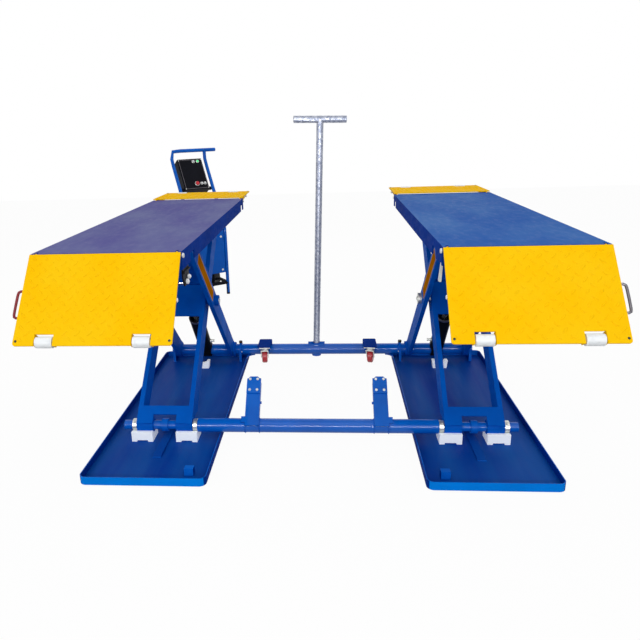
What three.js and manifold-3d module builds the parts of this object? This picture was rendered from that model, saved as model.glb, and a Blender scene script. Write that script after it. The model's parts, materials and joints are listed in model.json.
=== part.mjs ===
// Portable mid-rise scissor car lift: two decks on crossed frames over floor trays, joined by a
// sliding tube at the front and a fixed tube at the rear, with a pull handle, a pair of castors
// and a separate pump trolley. Shown raised, front ramps hanging, rear ramps level.
// Millimetres. +Z is up, +Y points to the rear, +X to the right as seen from the front.
import * as THREE from 'three';
import { mergeVertices } from 'three/addons/utils/BufferGeometryUtils.js';
import Module from 'manifold-3d';

const wasm = await Module();
wasm.setup();

// Fits shared by all pieces
const SEAT = 0.3; // gap between faces that rest on each other
const RUN = 0.4; // radial gap of a pin or shaft in its hole
const OVERRUN = 5; // how far a cutting tool passes the face that it cuts
const ROUND = 16; // sides of a large round
const SMALL_ROUND = 8; // sides of a small round
const ARC_STEPS = 4; // straight pieces in the arc of an outline
const BEND_STEPS = 3; // straight pieces in the bend of a tube or rod

// Overall layout
const LIFT_CENTRE = 660; // middle of the object to the middle of a deck
const SCISSOR_CENTRE = 655; // middle of the object to the middle of a pair of frames
const DECK = { width: 500, length: 1500, sheet: 5, skirt: 60, restTop: 920, lowestTop: 140, tail: 77,
  endShare: 0.75, notchRoom: 14 };
const TRAY = { width: 496, length: 1386, lip: 34, sheet: 4, corner: 28, tail: 56 };
const REAR_PIVOT_Y = TRAY.length - TRAY.tail; // rear tube axis, from the front edge of the trays
const PIVOT_HEIGHT = 66; // rear tube and foot shaft axes above the floor
const DECK_DROP = 42; // deck pivots below the deck's top face
const LOWER_ARM = 640; // foot or rear pivot to the centre pin
const UPPER_ARM = 576; // centre pin to the deck pivot or the head block
const DECK_FRONT = REAR_PIVOT_Y + DECK.tail - DECK.length; // front edge of the raised deck
const ARM = LOWER_ARM + UPPER_ARM;
const LIFT_ANGLE = Math.asin((DECK.restTop - PIVOT_HEIGHT - DECK_DROP) / ARM);
const FOOT_Y = REAR_PIVOT_Y - 2 * LOWER_ARM * Math.cos(LIFT_ANGLE);
const DECK_PIVOT = along(FOOT_Y, PIVOT_HEIGHT, ARM, LIFT_ANGLE);

// Places with the deck fully down, which set its notches
const LOWEST_ANGLE = Math.asin((DECK.lowestTop - PIVOT_HEIGHT - DECK_DROP) / ARM);
const LOW_DECK_SHIFT = (LOWER_ARM - UPPER_ARM) * (Math.cos(LIFT_ANGLE) - Math.cos(LOWEST_ANGLE));
const LOW_FOOT_Y = REAR_PIVOT_Y - 2 * LOWER_ARM * Math.cos(LOWEST_ANGLE);

const TRAY_PAD = { inset: 60, front: 66, length: 28, width: 36, top: 36 };
const LOCK_RACK = { width: 36, front: 205, pitch: 38, teeth: 7, height: 9, root: 3 };

const TUBE = { radius: 30, wall: 5 };
const REAR_TUBE_HALF = 850;
const LUG = { inner: 453, outer: 838, thick: 14, top: 38, base: 84 };
const LOCK_PIN = { radius: 5, head: 10, headHeight: 12, bite: 12, neck: 4 };

const PULL = { x: -17, radius: 18, wall: 3, lean: 1.65, foot: 37, top: 1318, bar: 272, turn: 8 };
const SOCKET = { outer: 26, bore: 20, top: 106, bottom: 30, floor: 36, flangeHalf: 47, flangeDepth: 44,
  flangeThick: 7 };

const CASTOR = { left: -306, right: 281, ahead: 94, trail: 22, wheel: 37.5, wheelWidth: 30, axle: 50,
  leftTurn: 6, rightTurn: -12 };
const CASTOR_FORK = { gap: 2.5, plate: 4, half: 17, top: 117, crown: 5, plateHalf: 30, pin: 4 };
const CASTOR_BRACKET = { half: 36, thick: 6, web: 9, front: 30 };

const LEG = { thick: 20, up: 36, down: 50, head: 31, taper: 95 };
const INNER_HALF = 121.5; // scissor centre to the outside of an inner leg
const OUTER_HALF = 162; // scissor centre to the outside of an outer leg
const HUB = { radius: 42, boss: 12, shoulder: 44 };
const HEEL = { reach: 48, rise: 14, slope: 34, nose: 22 };
const CENTRE_PIN = { radius: 17, head: 26, headThick: 18 };
const STUB_PIN = { radius: 14, washer: 4 };
const CROSS_PLATE = { thick: 8, footStart: 34, footEnd: 74, midStart: 533, midEnd: 708, topStart: 1085,
  topEnd: 1121 };
const FOOT_SLEEVE = { near: 51, toe: 8 };
const COVER = { start: 760, end: 1000, proud: 4, bite: 1 };
const FOOT_SHAFT = { radius: 20, half: 835, plug: 40, drain: 4 };
const SYNC_HALF = 511;
const COLLAR = { radius: 27, width: 19, gap: 2, screw: 5, screwHeight: 8 };
const FOOT_BLOCK = { near: 51, far: 144, half: 42, top: 50, notchHalf: 24, notchRise: 7 };
const HEAD_BLOCK = { gap: 2, width: 32, half: 30, below: 26 };
const DECK_LUG = { thick: 14, radius: 28, gap: 3 };
const SYNC_ARM = { centre: 274, width: 61, length: 205, web: 8, depth: 30, capStart: 132, cap: 6, chamfer: 14,
  tab: 16, tabLength: 26, tabThick: 16, pin: 6, pinReach: 6, pinAt: 95, bolt: 6, boltHead: 5 };

const CYLINDER = { eyeAt: 100, eyeRise: 10, barrel: 38, bore: 31.5, length: 340, ringHalf: 30, ring: 41,
  wall: 14 };
const ROD = { radius: 14, eye: 26, eyeHalf: 22, tail: 370, cross: 15 };
const PAWL = { half: 14, ring: 28, reach: 78, thick: 12 };

const RAMP = { length: 315, sheet: 5, back: 9, drop: 14, rise: 22, slope: 50.4, corner: 9, web: 5,
  webDepth: 44, webEnd: 14, webInset: 8, webNose: 13, taperEnd: 255, slotGap: 2 };
const RAMP_NOTCH = { near: 123, far: 183, depth: 38 };
const ROLLER = { radius: 18, at: 299, sink: 14, gap: 3, axle: 6, ear: 4, earAhead: 12, earBehind: 24 };
const RAMP_PIN = { radius: 5, head: 8, headThick: 6 };
const SIDE_HANDLE = { start: 127, end: 219, reach: 17, rod: 4.5, foot: 10 };

const TROLLEY = { x: -763, y: 2827, turn: 35, half: 140, tube: 14, kneeHeight: 540, leanAngle: 30,
  leanTop: 1060, top: 1128, bend: 26, overhang: 95, depth: 330, baseHeight: 96 };
const TROLLEY_WHEEL = { radius: 80, width: 34, axle: 9, gap: 4 };
const HOUSING = { bottom: 184, top: 545, depth: 190, corner: 10, inset: 2 };
const MOTOR = { radius: 58, bottom: 66 };
const CONTROL = { width: 208, height: 262, depth: 92, top: 1056, corner: 12, front: 20, bracket: 25 };
const BUTTON = { radius: 8, height: 7, stem: 6, travel: 3 };
const STOP_BUTTON = { radius: 15, height: 9 };
const LAMP = { radius: 9, height: 5 };
const PANEL_ROWS = { top: 24, bottom: 214 };
const PANEL_COLUMNS = { lamp: 62, power: 26, stop: 8, raise: 46, lower: 74 };

const COLOURS = {
  blue: ['#0f4fb4', 0.35, 0.1],
  deckBlue: ['#3f6fb4', 0.4, 0.15],
  yellow: ['#fdc800', 0.45, 0],
  zinc: ['#c9ccc8', 0.35, 0.8],
  galvanised: ['#b4bac4', 0.45, 0.7],
  nylon: ['#f2f4f4', 0.5, 0],
  black: ['#15161a', 0.4, 0.1],
  chrome: ['#d8dadd', 0.12, 1],
  steel: ['#6c6a6e', 0.4, 0.8],
  redWheel: ['#a81c24', 0.4, 0],
  darkPin: ['#33352f', 0.5, 0.4],
  tyre: ['#1a1a1c', 0.8, 0],
  green: ['#56e08c', 0.3, 0],
  red: ['#c61f34', 0.4, 0],
  white: ['#eceff2', 0.4, 0],
};

// A point at a distance along a leg that rises from (y, z) at an angle
function along(y, z, distance, angle, rise = 0) {
  return {
    y: y + distance * Math.cos(angle) - rise * Math.sin(angle),
    z: z + distance * Math.sin(angle) + rise * Math.cos(angle),
  };
}

// Closed geometry to a solid for joining and cutting, and back
function solid(geometry) {
  geometry.deleteAttribute('normal');
  geometry.deleteAttribute('uv');
  const merged = mergeVertices(geometry);
  return new wasm.Manifold(new wasm.Mesh({
    numProp: 3,
    vertProperties: merged.attributes.position.array,
    triVerts: new Uint32Array(merged.index.array),
  }));
}

function join(first, ...others) {
  return others.reduce((whole, piece) => whole.add(piece), first);
}

function cut(body, ...tools) {
  return tools.reduce((rest, tool) => rest.subtract(tool), body);
}

function geometryOf(body) {
  const found = body.getMesh();
  const geometry = new THREE.BufferGeometry();
  geometry.setAttribute('position', new THREE.BufferAttribute(new Float32Array(found.vertProperties), 3));
  geometry.setIndex(new THREE.BufferAttribute(new Uint32Array(found.triVerts), 1));
  geometry.computeVertexNormals();
  return geometry;
}

// A block between two corners, each axis given as a pair in any order
function block([x0, x1], [y0, y1], [z0, z1]) {
  const box = new THREE.BoxGeometry(Math.abs(x1 - x0), Math.abs(y1 - y0), Math.abs(z1 - z0));
  return solid(box.translate((x0 + x1) / 2, (y0 + y1) / 2, (z0 + z1) / 2));
}

// A round bar along X, Y or Z from one end to the other, centred on the other two coordinates
function barX(radius, [x0, x1], y, z, sides = ROUND) {
  const bar = new THREE.CylinderGeometry(radius, radius, Math.abs(x1 - x0), sides).rotateZ(-Math.PI / 2);
  return solid(bar.translate((x0 + x1) / 2, y, z));
}

function barY(radius, x, [y0, y1], z, sides = ROUND) {
  const bar = new THREE.CylinderGeometry(radius, radius, Math.abs(y1 - y0), sides);
  return solid(bar.translate(x, (y0 + y1) / 2, z));
}

function barZ(radius, x, y, [z0, z1], sides = ROUND) {
  const bar = new THREE.CylinderGeometry(radius, radius, Math.abs(z1 - z0), sides).rotateX(Math.PI / 2);
  return solid(bar.translate(x, y, (z0 + z1) / 2));
}

// A tool for a running bore along X: the flats of the bore stay clear of a shaft that turns in it
function boreX(radius, [x0, x1], y, z, sides = ROUND) {
  const wall = (radius + RUN) / Math.cos(Math.PI / sides);
  return barX(wall, [Math.min(x0, x1) - OVERRUN, Math.max(x0, x1) + OVERRUN], y, z, sides);
}

// A plate drawn as an outline of (y, z) points or a shape, between two places along X
function plateX(outline, [x0, x1], curveSegments = 8) {
  const corners = outline instanceof THREE.Shape ? null : outline.map(([y, z]) => new THREE.Vector2(y, z));
  const shape = corners ? new THREE.Shape(corners) : outline;
  const depth = Math.abs(x1 - x0);
  const plate = new THREE.ExtrudeGeometry(shape, { depth, bevelEnabled: false, curveSegments });
  plate.applyMatrix4(new THREE.Matrix4().makeBasis(
    new THREE.Vector3(0, 1, 0), new THREE.Vector3(0, 0, 1), new THREE.Vector3(1, 0, 0)));
  return solid(plate.translate(Math.min(x0, x1), 0, 0));
}

// A plate drawn as a shape in (x, y), between two heights
function plateZ(shape, [z0, z1], curveSegments = 5) {
  const plate = new THREE.ExtrudeGeometry(shape, { depth: z1 - z0, bevelEnabled: false, curveSegments });
  return solid(plate.translate(0, 0, z0));
}

function roundedRectangle([x0, x1], [y0, y1], radius) {
  const [left, right] = [Math.min(x0, x1), Math.max(x0, x1)];
  const shape = new THREE.Shape();
  shape.absarc(right - radius, y0 + radius, radius, -Math.PI / 2, 0);
  shape.absarc(right - radius, y1 - radius, radius, 0, Math.PI / 2);
  shape.absarc(left + radius, y1 - radius, radius, Math.PI / 2, Math.PI);
  shape.absarc(left + radius, y0 + radius, radius, Math.PI, 1.5 * Math.PI);
  return shape;
}

// A bent round tube or rod through a list of points, with its corners rounded
function bentRod(points, radius, bend, sides) {
  const path = new THREE.CurvePath();
  let from = points[0];
  for (let i = 1; i < points.length - 1; i += 1) {
    const before = points[i].clone().sub(points[i - 1]).setLength(bend);
    const after = points[i + 1].clone().sub(points[i]).setLength(bend);
    const entry = points[i].clone().sub(before);
    const leave = points[i].clone().add(after);
    path.add(new THREE.LineCurve3(from, entry));
    path.add(new THREE.QuadraticBezierCurve3(entry, points[i], leave));
    from = leave;
  }
  path.add(new THREE.LineCurve3(from, points[points.length - 1]));
  const ring = new THREE.Shape();
  ring.absarc(0, 0, radius, 0, 2 * Math.PI);
  const stops = path.curves.flatMap((part) => {
    const steps = part instanceof THREE.LineCurve3 ? 1 : BEND_STEPS;
    return part.getSpacedPoints(steps).slice(1);
  });
  const route = new THREE.CatmullRomCurve3([points[0], ...stops], false, 'centripetal');
  return solid(new THREE.ExtrudeGeometry(ring, {
    steps: stops.length * 2,
    extrudePath: route,
    curveSegments: sides / 2,
    bevelEnabled: false,
  }));
}

const lift = new THREE.Group();

function addPiece(name, body, colour, parent = lift) {
  const [color, roughness, metalness] = COLOURS[colour];
  const finish = new THREE.MeshStandardMaterial({ color, roughness, metalness });
  const mesh = new THREE.Mesh(geometryOf(body), finish);
  mesh.name = name;
  parent.add(mesh);
}

// A group that stands at (x, y, z), turned about X or Z by an angle
function placed(x, y, z, aboutX = 0, aboutZ = 0, parent = lift) {
  const group = new THREE.Group();
  group.position.set(x, y, z);
  group.rotation.set(aboutX, 0, aboutZ, 'ZXY');
  parent.add(group);
  return group;
}

// Both ends of a stretch that lies on the near and far side of a centre, one at a time
function mirroredPair(near, far) {
  return [[-far, -near], [near, far]];
}

// Floor tray with its bent lips, rest pad and lock rack
function addTray(side, name) {
  const centre = side * LIFT_CENTRE;
  const half = TRAY.width / 2;
  const outline = roundedRectangle([centre - half, centre + half], [0, TRAY.length], TRAY.corner);
  const pan = plateZ(outline, [0, TRAY.lip]);
  const inside = half - TRAY.sheet;
  const lengthInside = [TRAY.sheet, TRAY.length - TRAY.sheet];
  const inner = roundedRectangle([centre - inside, centre + inside], lengthInside, TRAY.corner - TRAY.sheet);
  const hollow = plateZ(inner, [TRAY.sheet, TRAY.lip + OVERRUN]);
  const padEdge = side * (LIFT_CENTRE - half + TRAY_PAD.inset);
  const padLength = [TRAY_PAD.front, TRAY_PAD.front + TRAY_PAD.length];
  const pad = block([padEdge, padEdge + side * TRAY_PAD.width], padLength, [TRAY.sheet / 2, TRAY_PAD.top]);
  const rackX = side * SCISSOR_CENTRE;
  const floor = TRAY.sheet / 2;
  const rack = [[LOCK_RACK.front, floor]];
  for (let i = 0; i < LOCK_RACK.teeth; i += 1) {
    const start = LOCK_RACK.front + i * LOCK_RACK.pitch;
    rack.push([start, TRAY.sheet + LOCK_RACK.root]);
    rack.push([start + LOCK_RACK.pitch, TRAY.sheet + LOCK_RACK.height]);
  }
  rack.push([LOCK_RACK.front + LOCK_RACK.teeth * LOCK_RACK.pitch, floor]);
  const teeth = plateX(rack.reverse(), [rackX - LOCK_RACK.width / 2, rackX + LOCK_RACK.width / 2]);
  const lugs = tubeLugs(side).map((lug) => lug.translate([0, REAR_PIVOT_Y, PIVOT_HEIGHT]));
  addPiece(name, join(cut(pan, hollow), pad, teeth, ...lugs), 'blue');
}

// Two upright lugs that hold the rear tube on a tray, the inner one drilled for its spring pin
function tubeLugs(side) {
  const outline = new THREE.Shape();
  outline.moveTo(-LUG.base / 2, TRAY.sheet / 2 - PIVOT_HEIGHT);
  outline.lineTo(LUG.base / 2, TRAY.sheet / 2 - PIVOT_HEIGHT);
  outline.absarc(0, 0, LUG.top, 0, Math.PI);
  const lugs = [LUG.inner, LUG.outer].map((x) => {
    const plate = plateX(outline, [x - LUG.thick / 2, x + LUG.thick / 2].map((at) => side * at));
    const bore = barX(TUBE.radius + SEAT, [x - LUG.thick, x + LUG.thick].map((at) => side * at), 0, 0);
    return cut(plate, bore);
  });
  const pinHole = barZ(LOCK_PIN.radius + RUN, side * LUG.inner, 0, [0, LUG.top + OVERRUN], SMALL_ROUND);
  return [cut(lugs[0], pinHole), lugs[1]];
}

function addLockPin(side, name) {
  const headLow = LUG.top + SEAT;
  const stemEnds = [TUBE.radius - LOCK_PIN.bite, LUG.top + LOCK_PIN.neck];
  const stem = barZ(LOCK_PIN.radius, 0, 0, stemEnds, SMALL_ROUND);
  const head = barZ(LOCK_PIN.head, 0, 0, [headLow, headLow + LOCK_PIN.headHeight], SMALL_ROUND);
  addPiece(name, join(stem, head), 'darkPin', placed(side * LUG.inner, REAR_PIVOT_Y, PIVOT_HEIGHT));
}

// Fixed rear tube with the handle socket and the castor brackets welded on
function addRearTube() {
  const outer = barX(TUBE.radius, [-REAR_TUBE_HALF, REAR_TUBE_HALF], 0, 0);
  const bore = barX(TUBE.radius - TUBE.wall, [-REAR_TUBE_HALF - OVERRUN, REAR_TUBE_HALF + OVERRUN], 0, 0);
  const pinHoles = [-1, 1].map((side) =>
    barZ(LOCK_PIN.radius + RUN, side * LUG.inner, 0, [0, TUBE.radius + OVERRUN], SMALL_ROUND));
  const lean = THREE.MathUtils.degToRad(PULL.lean);
  const sleeve = barZ(SOCKET.outer, PULL.x, 0, [SOCKET.bottom - PIVOT_HEIGHT, SOCKET.top - PIVOT_HEIGHT]);
  const flangeTop = TUBE.radius + SOCKET.flangeThick;
  const flange = block([PULL.x - SOCKET.flangeHalf, PULL.x + SOCKET.flangeHalf],
    [-SOCKET.flangeDepth / 2, SOCKET.flangeDepth / 2], [TUBE.radius - SOCKET.flangeThick, flangeTop]);
  const sleeveBore = barZ(SOCKET.bore, PULL.x, 0,
    [SOCKET.floor - PIVOT_HEIGHT, SOCKET.top - PIVOT_HEIGHT + OVERRUN]);
  const brackets = [CASTOR.left, CASTOR.right].map((x) => {
    const low = CASTOR_FORK.top + SEAT - PIVOT_HEIGHT;
    const plate = plateZ(
      roundedRectangle([x - CASTOR_BRACKET.half, x + CASTOR_BRACKET.half],
        [-CASTOR.ahead - CASTOR_BRACKET.front, CASTOR_BRACKET.web], CASTOR_BRACKET.web),
      [low, low + CASTOR_BRACKET.thick], ARC_STEPS);
    const web = block([x - CASTOR_BRACKET.half, x + CASTOR_BRACKET.half], [-CASTOR_BRACKET.web, 0],
      [TUBE.radius - TUBE.wall / 2, low + CASTOR_BRACKET.thick / 2]);
    return join(plate, web);
  });
  const tube = join(cut(outer, bore, ...pinHoles), flange, sleeve, ...brackets);
  addPiece('rear_tube', cut(tube, sleeveBore), 'blue', placed(0, REAR_PIVOT_Y, PIVOT_HEIGHT));

  const handle = placed(PULL.x, REAR_PIVOT_Y, PIVOT_HEIGHT);
  handle.rotation.set(0, lean, 0);
  const barHeight = PULL.top - PIVOT_HEIGHT;
  const footHeight = PULL.foot - PIVOT_HEIGHT;
  const barEnd = PULL.bar / 2;
  const inside = PULL.radius - PULL.wall;
  const stem = barZ(PULL.radius, 0, 0, [footHeight, barHeight - PULL.wall]);
  const stemBore = barZ(inside, 0, 0, [footHeight - OVERRUN, barHeight - PULL.radius - PULL.radius]);
  const bar = barX(PULL.radius, [-barEnd, barEnd], 0, barHeight);
  const barBore = barX(inside, [-barEnd - OVERRUN, barEnd + OVERRUN], 0, barHeight);
  const turned = placed(0, 0, 0, 0, THREE.MathUtils.degToRad(PULL.turn), handle);
  addPiece('pull_handle', cut(join(cut(stem, stemBore), bar), barBore), 'galvanised', turned);
}

// Swivel castor under its bracket: a pressed fork and a wheel
function addCastor(x, turn, name) {
  const post = placed(x, REAR_PIVOT_Y - CASTOR.ahead, 0, 0, THREE.MathUtils.degToRad(turn));
  const inner = CASTOR.wheelWidth / 2 + CASTOR_FORK.gap;
  const crownLow = CASTOR.axle + CASTOR.wheel + CASTOR_FORK.gap;
  const outer = inner + CASTOR_FORK.plate;
  const square = [-CASTOR_FORK.plateHalf, CASTOR_FORK.plateHalf];
  const top = block(square, square, [CASTOR_FORK.top - CASTOR_FORK.crown, CASTOR_FORK.top]);
  const race = barZ(CASTOR_FORK.half, 0, 0, [crownLow, CASTOR_FORK.top - CASTOR_FORK.crown / 2], SMALL_ROUND);
  const crown = block([-outer, outer], [-CASTOR_FORK.half, CASTOR_FORK.half],
    [crownLow, crownLow + CASTOR_FORK.crown]);
  const side = [
    [-CASTOR_FORK.half, crownLow + CASTOR_FORK.plate],
    [CASTOR.trail - CASTOR_FORK.half / 2, CASTOR.axle - CASTOR_FORK.half / 2],
    [CASTOR.trail + CASTOR_FORK.half / 2, CASTOR.axle - CASTOR_FORK.half / 2],
    [CASTOR_FORK.half, crownLow + CASTOR_FORK.plate],
  ];
  const cheeks = mirroredPair(inner, outer).map((pair) => plateX(side, pair));
  const axle = barX(CASTOR_FORK.pin, [-outer, outer], CASTOR.trail, CASTOR.axle, SMALL_ROUND);
  addPiece(`${name}_fork`, join(top, race, crown, ...cheeks, axle), 'zinc', post);
  const tyreEdge = CASTOR.wheelWidth / 2;
  const tread = CASTOR.wheel;
  const shoulder = CASTOR_FORK.gap;
  const bore = (CASTOR_FORK.pin + RUN) / Math.cos(Math.PI / SMALL_ROUND);
  const section = [
    [bore, -tyreEdge], [tread - 2 * shoulder, -tyreEdge], [tread, -tyreEdge + 2 * shoulder],
    [tread, tyreEdge - 2 * shoulder], [tread - 2 * shoulder, tyreEdge], [bore, tyreEdge], [bore, -tyreEdge],
  ];
  const profile = section.map(([r, h]) => new THREE.Vector2(r, h));
  const wheel = new THREE.LatheGeometry(profile, ROUND).rotateZ(-Math.PI / 2);
  addPiece(`${name}_wheel`, solid(wheel.translate(0, CASTOR.trail, CASTOR.axle)), 'redWheel', post);
}

// Outline of a leg in its own frame: distance along it, and height above its pivot line
function legOutline(foot, direction) {
  const shape = new THREE.Shape();
  const tip = ARM - LEG.taper;
  if (foot === 'hub') {
    shape.absarc(0, 0, HUB.radius, 1.5 * Math.PI, Math.PI / 2, true);
    shape.lineTo(HUB.shoulder, LEG.up);
  } else {
    shape.moveTo(HEEL.reach, -HEEL.rise);
    shape.lineTo(-HEEL.nose, -HEEL.rise);
    shape.lineTo(-HEEL.nose, TUBE.radius / 2);
    shape.lineTo(-FOOT_SLEEVE.toe, LEG.up);
  }
  shape.lineTo(tip, LEG.up);
  shape.absarc(ARM, 0, LEG.head, Math.PI / 2, -Math.PI / 2, true);
  shape.lineTo(tip, -LEG.down);
  if (foot === 'hub') {
    shape.lineTo(HUB.shoulder, -LEG.down);
  } else {
    shape.lineTo(HEEL.reach + HEEL.slope, -LEG.down);
  }
  const points = shape.getPoints(ARC_STEPS).map((p) => [direction * p.x, p.y]);
  return direction > 0 ? points.reverse() : points;
}

// Inner frame: two legs from the foot shaft up to the rear of the deck, tied by cross plates
function addInnerFrame(side, name) {
  const frame = placed(side * SCISSOR_CENTRE, FOOT_Y, PIVOT_HEIGHT, LIFT_ANGLE);
  const inside = INNER_HALF - LEG.thick;
  const outline = legOutline('foot', 1);
  const legs = mirroredPair(inside, INNER_HALF).map((pair) => plateX(outline, pair));
  const sleeveEnds = mirroredPair(FOOT_SLEEVE.near, INNER_HALF + RUN);
  const sleeves = sleeveEnds.map((pair) => barX(TUBE.radius, pair, 0, 0));
  const bores = [
    boreX(FOOT_SHAFT.radius, [-INNER_HALF, INNER_HALF], 0, 0),
    boreX(CENTRE_PIN.radius, [-INNER_HALF, INNER_HALF], LOWER_ARM, 0),
    boreX(STUB_PIN.radius, [-INNER_HALF, INNER_HALF], ARM, 0),
  ];
  const high = [LEG.up - CROSS_PLATE.thick, LEG.up];
  const wide = [-inside - LEG.thick / 2, inside + LEG.thick / 2];
  const plates = [
    block(wide, [CROSS_PLATE.footStart, CROSS_PLATE.footEnd], high),
    block(wide, [CROSS_PLATE.midStart, CROSS_PLATE.midEnd], high),
    block(wide, [CROSS_PLATE.topStart, CROSS_PLATE.topEnd], high),
  ];
  const toes = mirroredPair(FOOT_SLEEVE.near, inside + LEG.thick / 2).map((pair) =>
    block(pair, [-FOOT_SLEEVE.toe, CROSS_PLATE.footStart + FOOT_SLEEVE.toe], high));
  const eyeBar = barX(ROD.cross, wide, LOWER_ARM + CYLINDER.eyeAt, CYLINDER.eyeRise);
  const whole = cut(join(legs[0], legs[1], ...sleeves, ...plates, ...toes), ...bores);
  addPiece(name, join(whole, eyeBar), 'blue', frame);
}

// Outer frame: two legs from the rear tube up to the head blocks, tied by a cover plate on their upper edges
function addOuterFrame(side, name) {
  const frame = placed(side * SCISSOR_CENTRE, REAR_PIVOT_Y, PIVOT_HEIGHT, -LIFT_ANGLE);
  const inside = OUTER_HALF - LEG.thick;
  const outline = legOutline('hub', -1);
  const legs = mirroredPair(inside, OUTER_HALF).map((pair) => plateX(outline, pair));
  const bosses = mirroredPair(OUTER_HALF - LEG.thick / 2, OUTER_HALF + HUB.boss).map((pair) =>
    barX(HUB.radius - RUN, pair, 0, 0));
  const stubEnd = OUTER_HALF + HEAD_BLOCK.gap + HEAD_BLOCK.width;
  const stubs = mirroredPair(OUTER_HALF - LEG.thick / 2, stubEnd).map((pair) =>
    barX(STUB_PIN.radius, pair, -ARM, 0));
  const cover = block([-OUTER_HALF, OUTER_HALF], [-COVER.start, -COVER.end],
    [LEG.up - COVER.bite, LEG.up + COVER.proud]);
  const reach = OUTER_HALF + HUB.boss;
  const hubBore = boreX(TUBE.radius, [-reach, reach], 0, 0);
  const pinBore = boreX(CENTRE_PIN.radius, [-reach, reach], -LOWER_ARM, 0);
  const bored = cut(join(legs[0], legs[1], ...bosses, cover), hubBore, pinBore);
  addPiece(name, join(bored, ...stubs), 'blue', frame);

  const shaft = barX(CENTRE_PIN.radius, [-OUTER_HALF - OVERRUN, OUTER_HALF + OVERRUN], -LOWER_ARM, 0);
  const heads = mirroredPair(OUTER_HALF + SEAT, OUTER_HALF + SEAT + CENTRE_PIN.headThick).map((pair) =>
    barX(CENTRE_PIN.head, pair, -LOWER_ARM, 0));
  addPiece(`${name.replace('outer_frame', 'centre_shaft')}`, join(shaft, ...heads), 'zinc', frame);
}

// Sides of a pair, named by which one lies nearer the middle of the object
function sidesOf(side) {
  return side > 0 ? ['inner', 'outer'] : ['outer', 'inner'];
}

// Nylon blocks on the stub pins at the heads of the outer frame, sliding under the deck
function addHeadBlocks(side, hand) {
  const head = along(REAR_PIVOT_Y, PIVOT_HEIGHT, ARM, Math.PI - LIFT_ANGLE);
  const place = placed(side * SCISSOR_CENTRE, head.y, head.z);
  const near = OUTER_HALF + HEAD_BLOCK.gap;
  const top = DECK_DROP - DECK.sheet - SEAT;
  mirroredPair(near, near + HEAD_BLOCK.width).forEach((pair, index) => {
    const body = block(pair, [-HEAD_BLOCK.half, HEAD_BLOCK.half], [-HEAD_BLOCK.below, top]);
    const bore = boreX(STUB_PIN.radius, pair, 0, 0);
    addPiece(`${hand}_${sidesOf(side)[index]}_head_block`, cut(body, bore), 'nylon', place);
  });
}

// Sliding front tube with its foot shafts, collars, foot blocks and the two arms
function addSyncTube() {
  const place = placed(0, FOOT_Y, PIVOT_HEIGHT, LIFT_ANGLE);
  const outer = barX(TUBE.radius, [-SYNC_HALF, SYNC_HALF], 0, 0);
  const bore = barX(TUBE.radius - TUBE.wall, [-SYNC_HALF - OVERRUN, SYNC_HALF + OVERRUN], 0, 0);
  const shafts = mirroredPair(SYNC_HALF - FOOT_SHAFT.plug, FOOT_SHAFT.half).map((pair) =>
    barX(FOOT_SHAFT.radius, pair, 0, 0));
  const plugs = mirroredPair(SYNC_HALF - FOOT_SHAFT.plug, SYNC_HALF).map((pair) =>
    barX(TUBE.radius - TUBE.wall / 2, pair, 0, 0));
  const drain = barZ(FOOT_SHAFT.drain, 0, 0, [-TUBE.radius - OVERRUN, 0], SMALL_ROUND);
  const edges = [-1, 1].flatMap((side) => {
    const nearFoot = side * (SCISSOR_CENTRE - INNER_HALF - COLLAR.gap);
    const farFoot = side * (SCISSOR_CENTRE + INNER_HALF + COLLAR.gap);
    return [[nearFoot - side * COLLAR.width, nearFoot], [farFoot, farFoot + side * COLLAR.width]];
  });
  const collars = edges.map(([from, to]) => {
    const screwTop = COLLAR.radius + COLLAR.screwHeight;
    const screw = barZ(COLLAR.screw, (from + to) / 2, 0, [0, screwTop], SMALL_ROUND);
    return join(barX(COLLAR.radius, [from, to], 0, 0), screw);
  });
  const tube = cut(join(cut(outer, bore), ...shafts, ...plugs), drain);
  addPiece('sync_tube', join(tube, ...collars), 'blue', place);

  for (const [side, name] of [[-1, 'left_sync_arm'], [1, 'right_sync_arm']]) {
    addSyncArm(side, name, place);
  }
}

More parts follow.
